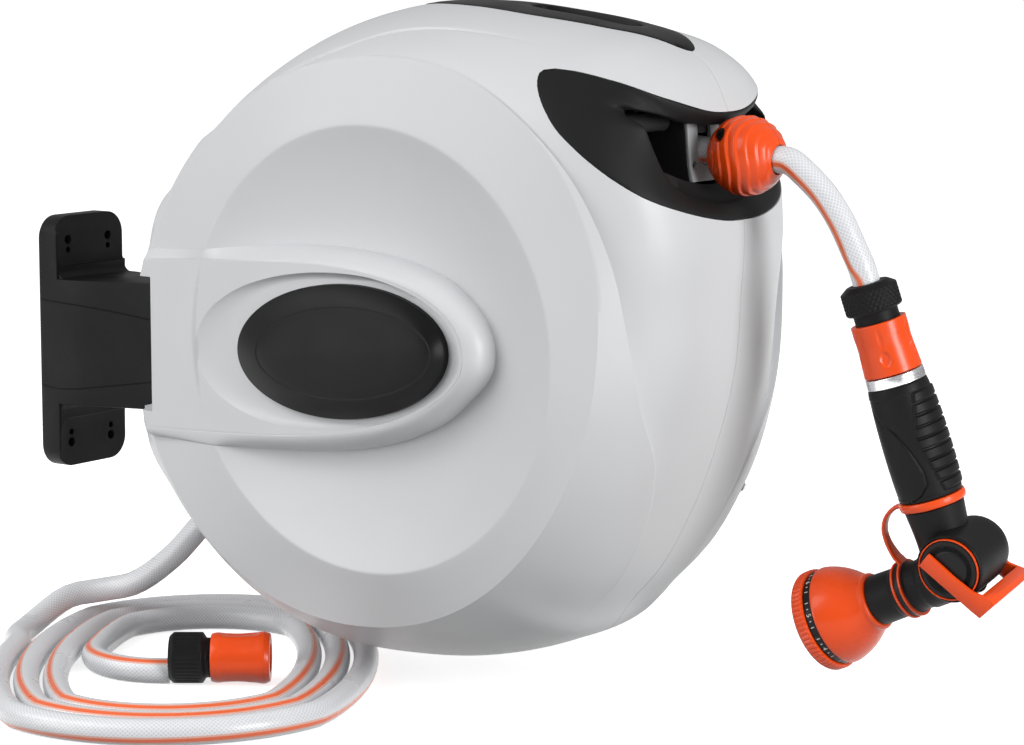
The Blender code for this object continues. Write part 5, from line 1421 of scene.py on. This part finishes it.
def build_ball():
    """Two halves with wavy stepped ridges around the hose, and the sunk screw between them."""
    def ridged(radius, height, angle):
        polar = math.atan2(radius, -height)
        turn = polar / math.pi * 12 + 0.4 * math.sin(3 * angle + 0.6) * math.sin(polar)
        phase = turn % 1.0
        lift = 0.0012 * (phase if phase < 0.8 else (1 - phase) * 4) - 0.0008
        return radius + lift * math.sin(polar)

    steps = 156
    profile = [(0.0, -BALL_RADIUS)]
    profile += [((BALL_RADIUS - 0.0002) * math.sin(math.pi * i / steps),
                 -(BALL_RADIUS - 0.0002) * math.cos(math.pi * i / steps)) for i in range(1, steps)]
    profile.append((0.0, BALL_RADIUS - 0.0004))
    at = BALL + Vector((-0.008, 0, 0.0125))
    for name, node, side in (("ball_near_half", "near_ball_half", -1),
                             ("ball_far_half", "far_ball_half", 1)):
        half = piece(name, revolved(name, profile, 120, facing(BALL_AHEAD, BALL), False, ridged), "carriage",
                     "orange_plastic", (node,))
        low, high = sorted((side * 0.00015, side * 0.05))
        keep = hidden(box_mesh(name + "_keep", (BALL.x - 0.05, low, BALL.z - 0.05),
                               (BALL.x + 0.05, high, BALL.z + 0.05)))
        combine(half, keep, "INTERSECT")
        combine(half, cylinder_cutter(name + "_bore", HOSE_BORE_RADIUS, BALL - BALL_AHEAD * 0.04,
                                      BALL + BALL_AHEAD * 0.04, 48))
        combine(half, cylinder_cutter(name + "_screw", 0.0022, at - Vector((0, 0.03, 0)),
                                      at + Vector((0, 0.012, 0)), 24))
        combine(half, cylinder_cutter(name + "_seat", 0.004, at - Vector((0, 0.03, 0)),
                                      at - Vector((0, 0.0135, 0)), 32))
        apply_modifiers(half, 32)
    bolt = ((0, 0.0115), (0.0018, 0.0115), (0.002, 0.011), (0.002, -0.0137), (0.0037, -0.0137),
            (0.0037, -0.015),
            (0.0033, -0.0154), (0, -0.0154))
    place = Matrix.Translation(at) @ Matrix(((1, 0, 0, 0), (0, 0, 1, 0), (0, -1, 0, 0), (0, 0, 0, 1)))
    head = piece("ball_bolt", revolved("ball_bolt", bolt, 32, place), "carriage", "steel", ("ball_screw",),
                 "dark_plastic")
    combine(head, cylinder_cutter("ball_bolt_socket", 0.0016, at - Vector((0, 0.02, 0)),
                                  at - Vector((0, 0.0143, 0)), 6))
    apply_modifiers(head)
    clear_cutters()


# Spray gun

GUN_PLACE = facing(GUN_AXIS, GUN_TOP, VALVE_ASIDE)
HEAD_PLACE = facing(HEAD_AXIS, HEAD_BASE, VALVE_AXIS)
VALVE_PLACE = Matrix.Translation(VALVE) @ Matrix((VALVE_ASIDE, GUN_AXIS, VALVE_AXIS)).transposed().to_4x4()


def build_hose_nut():
    profile = smooth_profile(rounded_profile((
        (0, 0.0), (0.012, 0.0), (0.0166, 0.0032), (0.0166, 0.015), (0.0158, 0.0162), (0.013, 0.0162),
        (0.013, 0.03), (0, 0.03)), 0.0006), 0.0004)
    shape = knurl(0.0007, 34, 0.0042, 0.003, 0.0145)
    piece("gun_hose_nut", revolved("gun_hose_nut", profile, 272, GUN_PLACE, False, shape), "carriage",
          "black_plastic", ("hose_nut",), None, 50)


def build_sleeve():
    """Release sleeve with a drawn-in waist, oval dents and short flutes above them."""
    def shape(radius, height, angle):
        if radius < 0.015:
            return radius
        change = 0.0
        for k in range(5):
            centre = SLEEVE_TURN + 2 * math.pi * k / 5
            off = (angle - centre + math.pi) % (2 * math.pi) - math.pi
            across = off * 0.0165
            dent = math.hypot(across / 0.0034, (height - 0.043) / 0.005)
            change -= 0.0012 * float(1 - ease(0.55, 1.05, dent))
            flute = math.hypot(across / 0.0016, (height - 0.0315) / 0.007)
            change -= 0.0006 * float(1 - ease(0.4, 1.1, flute))
        return radius + change

    profile = smooth_profile(rounded_profile((
        (0.0133, 0.0224), (0.0162, 0.0224), (0.0162, 0.029, 0.002), (0.0158, 0.035, 0.003),
        (0.0163, 0.043, 0.004), (0.017, 0.0527), (0.0093, 0.0527), (0.0093, 0.0346), (0.0133, 0.0346),
        (0.0133, 0.0225)), 0.0006), 0.0005)
    piece("gun_sleeve", revolved("gun_sleeve", profile, 192, GUN_PLACE, True, shape), "sleeve",
          "orange_plastic",
          ("connector_sleeve",))


SLEEVE_TURN = math.radians(-73)


def build_silver_ring():
    profile = rounded_profile(((0.0085, 0.0533), (0.017, 0.0533), (0.0175, 0.0594), (0.0085, 0.0594),
                               (0.0085, 0.0534)), 0.0007)
    piece("ring_band", revolved("ring_band", profile, 96, GUN_PLACE, True), "gun", "silver_trim",
          ("silver_ring",))


def build_grip():
    """Grip: rubber pads on its outer side, and a curved parting groove on either flank."""
    groove = smooth_keys(((0.07, 150), (0.076, 128), (0.084, 98), (0.094, 80), (0.104, 69), (0.112, 64),
                          (0.12, 70), (0.126, 104), (0.1275, 130)))

    def shape(radius, height, angle):
        if radius < 0.015 or not 0.06 < height < 0.1268:
            return radius
        off = (angle + math.pi) % (2 * math.pi) - math.pi
        change = 0.0
        first, pitch, pads = 0.065, 0.0066, 9
        place = (height - first) / pitch
        if 0 <= place < pads:
            phase = place % 1
            span = math.radians(58 - 5 * abs(place - 4))
            pad = float(ease(0.06, 0.17, phase) * (1 - ease(0.83, 0.94, phase)))
            pad *= float(1 - ease(span, span + 0.1, abs(off)))
            change += 0.0013 * pad - 0.0003
        line = math.radians(float(groove(height)))
        away = abs(abs(off) - line) * radius
        if 0.07 < height < 0.1268:
            change -= 0.0009 * float(1 - ease(0.0003, 0.0012, away))
        return radius + change

    profile = smooth_profile(rounded_profile((
        (0, 0.0597), (0.0172, 0.0597), (0.018, 0.064, 0.003), (0.019, 0.08, 0.01), (0.0194, 0.1, 0.01),
        (0.0192, 0.115, 0.01), (0.0188, 0.124, 0.004), (0.0184, 0.1272, 0.001), (0, 0.1272)), 0.0008),
                             0.0005)
    piece("gun_grip", revolved("gun_grip", profile, 256, GUN_PLACE, False, shape), "gun", "black_plastic",
          ("grip",), None, 45)


def build_valve():
    """Valve body: a barrel across the grip with a rounded far end, its stem and the neck of the head."""
    barrel = smooth_profile(rounded_profile((
        (0, -0.025), (0.0173, -0.025), (0.0173, -0.0232, 0), (0.0182, -0.0232, 0), (0.019, -0.025),
        (0.02, -0.0236), (0.02, 0.012, 0.004), (0.0196, 0.017, 0.004), (0.0178, 0.0222, 0.004),
        (0.012, 0.0248, 0.004), (0, 0.025)), 0.0006), 0.0015)
    body = piece("gun_valve", revolved("gun_valve", barrel, 96, VALVE_PLACE), "gun", "black_plastic",
                 ("valve_body",), None, 32)
    stem = rounded_profile(((0, 0.1276), (0.0117, 0.1276), (0.0117, 0.133), (0.0176, 0.133),
                            (0.0166, 0.142, 0.004),
                            (0.0158, 0.152, 0.003), (0.0158, 0.164), (0, 0.164)), 0.0006)
    combine(body, hidden(revolved("valve_stem", stem, 80, GUN_PLACE)), "UNION")
    neck = rounded_profile(((0, 0.0), (0.0156, 0.0), (0.0156, 0.03), (0.0146, 0.032), (0.0146, 0.0385),
                            (0.0155, 0.0395), (0.0155, 0.048), (0.0147, 0.05), (0.015, 0.0655), (0, 0.0655)),
                           0.0008)
    combine(body, hidden(revolved("valve_neck", neck, 90, HEAD_PLACE)), "UNION")
    apply_modifiers(body, 32)
    clear_cutters()


def build_spindle():
    """The disc in the barrel's near end that carries the lever, with its thin orange ring."""
    disc = rounded_profile(((0, -0.0254), (0.01, -0.0254), (0.0106, -0.025), (0.014, -0.025),
                            (0.0146, -0.0256),
                            (0.0168, -0.0256), (0.0168, -0.0236), (0, -0.0236)), 0.0003)
    piece("spindle_disc", revolved("spindle_disc", disc, 96, VALVE_PLACE), "lever", "dark_plastic",
          ("valve_spindle",))
    ring = rounded_profile(((0.0174, -0.0234), (0.0181, -0.0234), (0.0181, -0.0258), (0.0174, -0.0258),
                            (0.0174, -0.0235)), 0.0002)
    piece("spindle_ring", revolved("spindle_ring", ring, 96, VALVE_PLACE, True), "gun", "orange_plastic")


def build_lever():
    """Bail lever: two flat arms over the barrel's ends and a crossbar with its thumb tab."""
    arm = ((-0.0154, -0.0062), (-0.0079, -0.0117), (0.004, 0.005), (0.012, 0.0145), (0.0215, 0.0205),
           (0.0225, 0.024), (0.016, 0.0275), (0.0115, 0.03), (0.0075, 0.025))
    lever = piece("gun_lever", prism_mesh("gun_lever", list(arm), -0.0285, 0.0285, VALVE_PLACE), "lever",
                  "orange_plastic", ("flow_lever",))
    combine(lever, cylinder_cutter("lever_gap", 0.0238, VALVE - VALVE_AXIS * 0.026,
                                   VALVE + VALVE_AXIS * 0.026, 96))
    bevelled(lever, 0.0008, 2, 40)
    apply_modifiers(lever, 32)
    clear_cutters()


def build_head():
    """Bell, marked band, knurled bezel and spray plate."""
    bell = smooth_profile(rounded_profile((
        (0, 0.0658), (0.016, 0.0658), (0.0172, 0.0672), (0.0168, 0.069), (0.019, 0.0725, 0.003),
        (0.0232, 0.078, 0.004), (0.0264, 0.084, 0.004), (0.0284, 0.0895, 0.004), (0.0292, 0.093),
        (0.0292, 0.0945), (0, 0.0945)), 0.0006), 0.0012)
    piece("head_bell", revolved("head_bell", bell, 96, HEAD_PLACE), "gun", "orange_plastic", ("spray_bell",))
    band = rounded_profile(((0, 0.0948), (0.0283, 0.0948), (0.0283, 0.0996), (0, 0.0996)), 0.0003)
    piece("head_band", revolved("head_band", band, 96, HEAD_PLACE), "dial", "dark_plastic",
          ("pattern_band",))

    def teeth(radius, height, angle):
        if radius < 0.028 or not 0.1003 < height < 0.1066:
            return radius
        return radius - 0.0007 * (0.5 + 0.5 * math.cos(60 * angle)) ** 2

    bezel = smooth_profile(rounded_profile((
        (0.0253, 0.0999), (0.0296, 0.0999), (0.0304, 0.101), (0.0304, 0.106), (0.0292, 0.1075),
        (0.0262, 0.1075), (0.0253, 0.1064), (0.0253, 0.1)), 0.0005), 0.0009)
    piece("head_bezel", revolved("head_bezel", bezel, 360, HEAD_PLACE, True, teeth), "dial",
          "orange_plastic",
          ("spray_bezel",), None, 50)
    plate = rounded_profile(((0, 0.0999), (0.025, 0.0999), (0.025, 0.104), (0.0222, 0.1046),
                             (0.0212, 0.1038),
                             (0.015, 0.1044), (0.0142, 0.1052), (0.006, 0.1052), (0.0052, 0.1046),
                             (0, 0.1046)), 0.0003)
    face = piece("head_plate", revolved("head_plate", plate, 96, HEAD_PLACE), "dial", "dark_plastic",
                 ("spray_plate",))
    holes = []
    for ring, (count, distance, size) in enumerate(((1, 0.0, 0.0011), (8, 0.0034, 0.0007),
                                                    (14, 0.0098, 0.0008),
                                                    (20, 0.0124, 0.0008), (30, 0.0182, 0.0007))):
        for k in range(count):
            a = 2 * math.pi * (k + 0.2 * ring) / count
            start = HEAD_PLACE @ Vector((distance * math.cos(a), distance * math.sin(a), 0.1036))
            holes.append(revolved("hole", ((0, 0), (size, 0), (size, 0.003), (0, 0.003)), 8,
                                  facing(HEAD_AXIS, start)))
    combine(face, hidden(joined("spray_holes", holes)))
    apply_modifiers(face, 32)
    clear_cutters()
    build_marks()


def build_marks():
    """Plain numbers and ticks around the band."""
    parts = []
    for k in range(8):
        a = 2 * math.pi * k / 8 + 0.35
        out = HEAD_PLACE.to_3x3() @ Vector((math.cos(a), math.sin(a), 0))
        along = HEAD_PLACE.to_3x3() @ Vector((-math.sin(a), math.cos(a), 0))
        data = bpy.data.curves.new("mark", "FONT")
        data.body = str(k + 1)
        data.size = 0.0042
        data.extrude = 0.00008
        data.align_x, data.align_y = "CENTER", "CENTER"
        text = bpy.data.objects.new("mark", data)
        SCENE.collection.objects.link(text)
        at = HEAD_BASE + HEAD_AXIS * 0.0972 + out * 0.02838
        text.matrix_world = Matrix.Translation(at) @ Matrix((-along, -HEAD_AXIS, out)).transposed().to_4x4()
        bpy.context.view_layer.update()
        mesh = bpy.data.meshes.new_from_object(text.evaluated_get(bpy.context.evaluated_depsgraph_get()))
        mesh.transform(text.matrix_world)
        parts.append(mesh)
        bpy.data.objects.remove(text)
        for step in (-2, -1, 1, 2):
            b = a + step * 2 * math.pi / 8 / 6
            outwards = HEAD_PLACE.to_3x3() @ Vector((math.cos(b), math.sin(b), 0))
            turn = Matrix((outwards.cross(HEAD_AXIS), HEAD_AXIS, outwards)).transposed().to_4x4()
            tall = 0.0011 if abs(step) == 2 else 0.0006
            tick = box_mesh("tick", (-0.00025, -tall, 0.0), (0.00025, tall, 0.00016))
            tick.transform(Matrix.Translation(HEAD_BASE + HEAD_AXIS * 0.0972 + outwards * 0.02828) @ turn)
            parts.append(tick)
    piece("band_marks", joined("band_marks", parts), "dial", "dark_plastic", (), "mark_white")


def swept_mesh(name, path, widths, half_depth, side):
    """A flat strip with rounded edges along a path; its width lies along a fixed direction."""
    section = [(math.cos(a), math.sin(a)) for a in [2 * math.pi * i / 16 for i in range(16)]]
    points = []
    for i, p in enumerate(path):
        ahead = (path[min(i + 1, len(path) - 1)] - path[max(i - 1, 0)]).normalized()
        out = side.cross(ahead).normalized()
        wide = ahead.cross(out).normalized()
        for x, y in section:
            flat = (abs(x) ** 4 + abs(y) ** 4) ** -0.25
            points.append(p + wide * x * flat * widths[i] + out * y * flat * half_depth)
    faces = [tuple(range(16)), tuple(len(points) - 1 - k for k in range(16))] + ring_faces(len(path), 16)
    return mesh_from(name, points, faces, True)


def build_strap():
    """Ring under the grip, the bowed strap and the two thin rims of its collar on the neck."""
    profile = rounded_profile(((0.012, 0.1276), (0.0192, 0.1276), (0.0197, 0.13, 0.001), (0.0192, 0.1324),
                               (0.012, 0.1324), (0.012, 0.1277)), 0.0006)
    strap = piece("gun_strap", revolved("gun_strap", profile, 96, GUN_PLACE, True), "gun", "orange_plastic",
                  ("hose_strap",), None, 40)
    for number, low in enumerate((0.0398, 0.0446)):
        rim = rounded_profile(((0.015, low), (0.0172, low), (0.0172, low + 0.0014), (0.015, low + 0.0014),
                               (0.015, low + 0.0001)), 0.0003)
        combine(strap, hidden(revolved(f"strap_rim_{number}", rim, 90, HEAD_PLACE, True)), "UNION")
    aside, down = -VALVE_ASIDE, GUN_AXIS
    start = GUN_TOP + GUN_AXIS * 0.13
    bow = [start + aside * reach + down * drop for reach, drop in
           ((0.017, 0.0), (0.0245, 0.0006), (0.0312, 0.005), (0.035, 0.012), (0.0352, 0.02),
            (0.033, 0.028))]
    foot = HEAD_BASE + HEAD_AXIS * 0.043 - GUN_AXIS * 0.016
    path = smooth_path(bow + [(bow[-1] + foot) / 2, foot], 0.0015)
    widths = [0.0028 + 0.0024 * float(ease(0.55, 1.0, i / len(path))) for i in range(len(path))]
    combine(strap, hidden(swept_mesh("strap_bow", path, widths, 0.0013, VALVE_AXIS)), "UNION")
    apply_modifiers(strap, 40)
    clear_cutters()
    belt = rounded_profile(((0.0148, 0.0413), (0.0164, 0.0413), (0.0164, 0.0445), (0.0148, 0.0445),
                            (0.0148, 0.0414)), 0.0003)
    piece("strap_belt", revolved("strap_belt", belt, 90, HEAD_PLACE, True), "gun", "dark_plastic")


# Solids behind the mouth, painted in dark finishes in place of their own
DARK_NODES = {"left_guide_bearing": "cap_black", "right_guide_bearing": "cap_black", "guide_rod": "rod_grey",
              "lead_screw": "dark_plastic"}


def paint_solids():
    """Procedural finishes for the solids that stay in view."""
    slots = {row["node"]: row["material_slot"] for row in frame["record"]["subparts"]}
    for name, made in NODES.items():
        made.data.materials.clear()
        made.data.materials.append(PAINTS[DARK_NODES.get(name, slots[name])])


PAINTS = build_materials()
build_camera()
build_stage()
paint_solids()
build_hose_nut()
build_hoses()
build_winding()
build_bracket()
build_caps()
build_trim()
build_insert()
build_shells()
build_guide()
build_ball()
build_sleeve()
build_silver_ring()
build_grip()
build_valve()
build_spindle()
build_lever()
build_head()
build_strap()
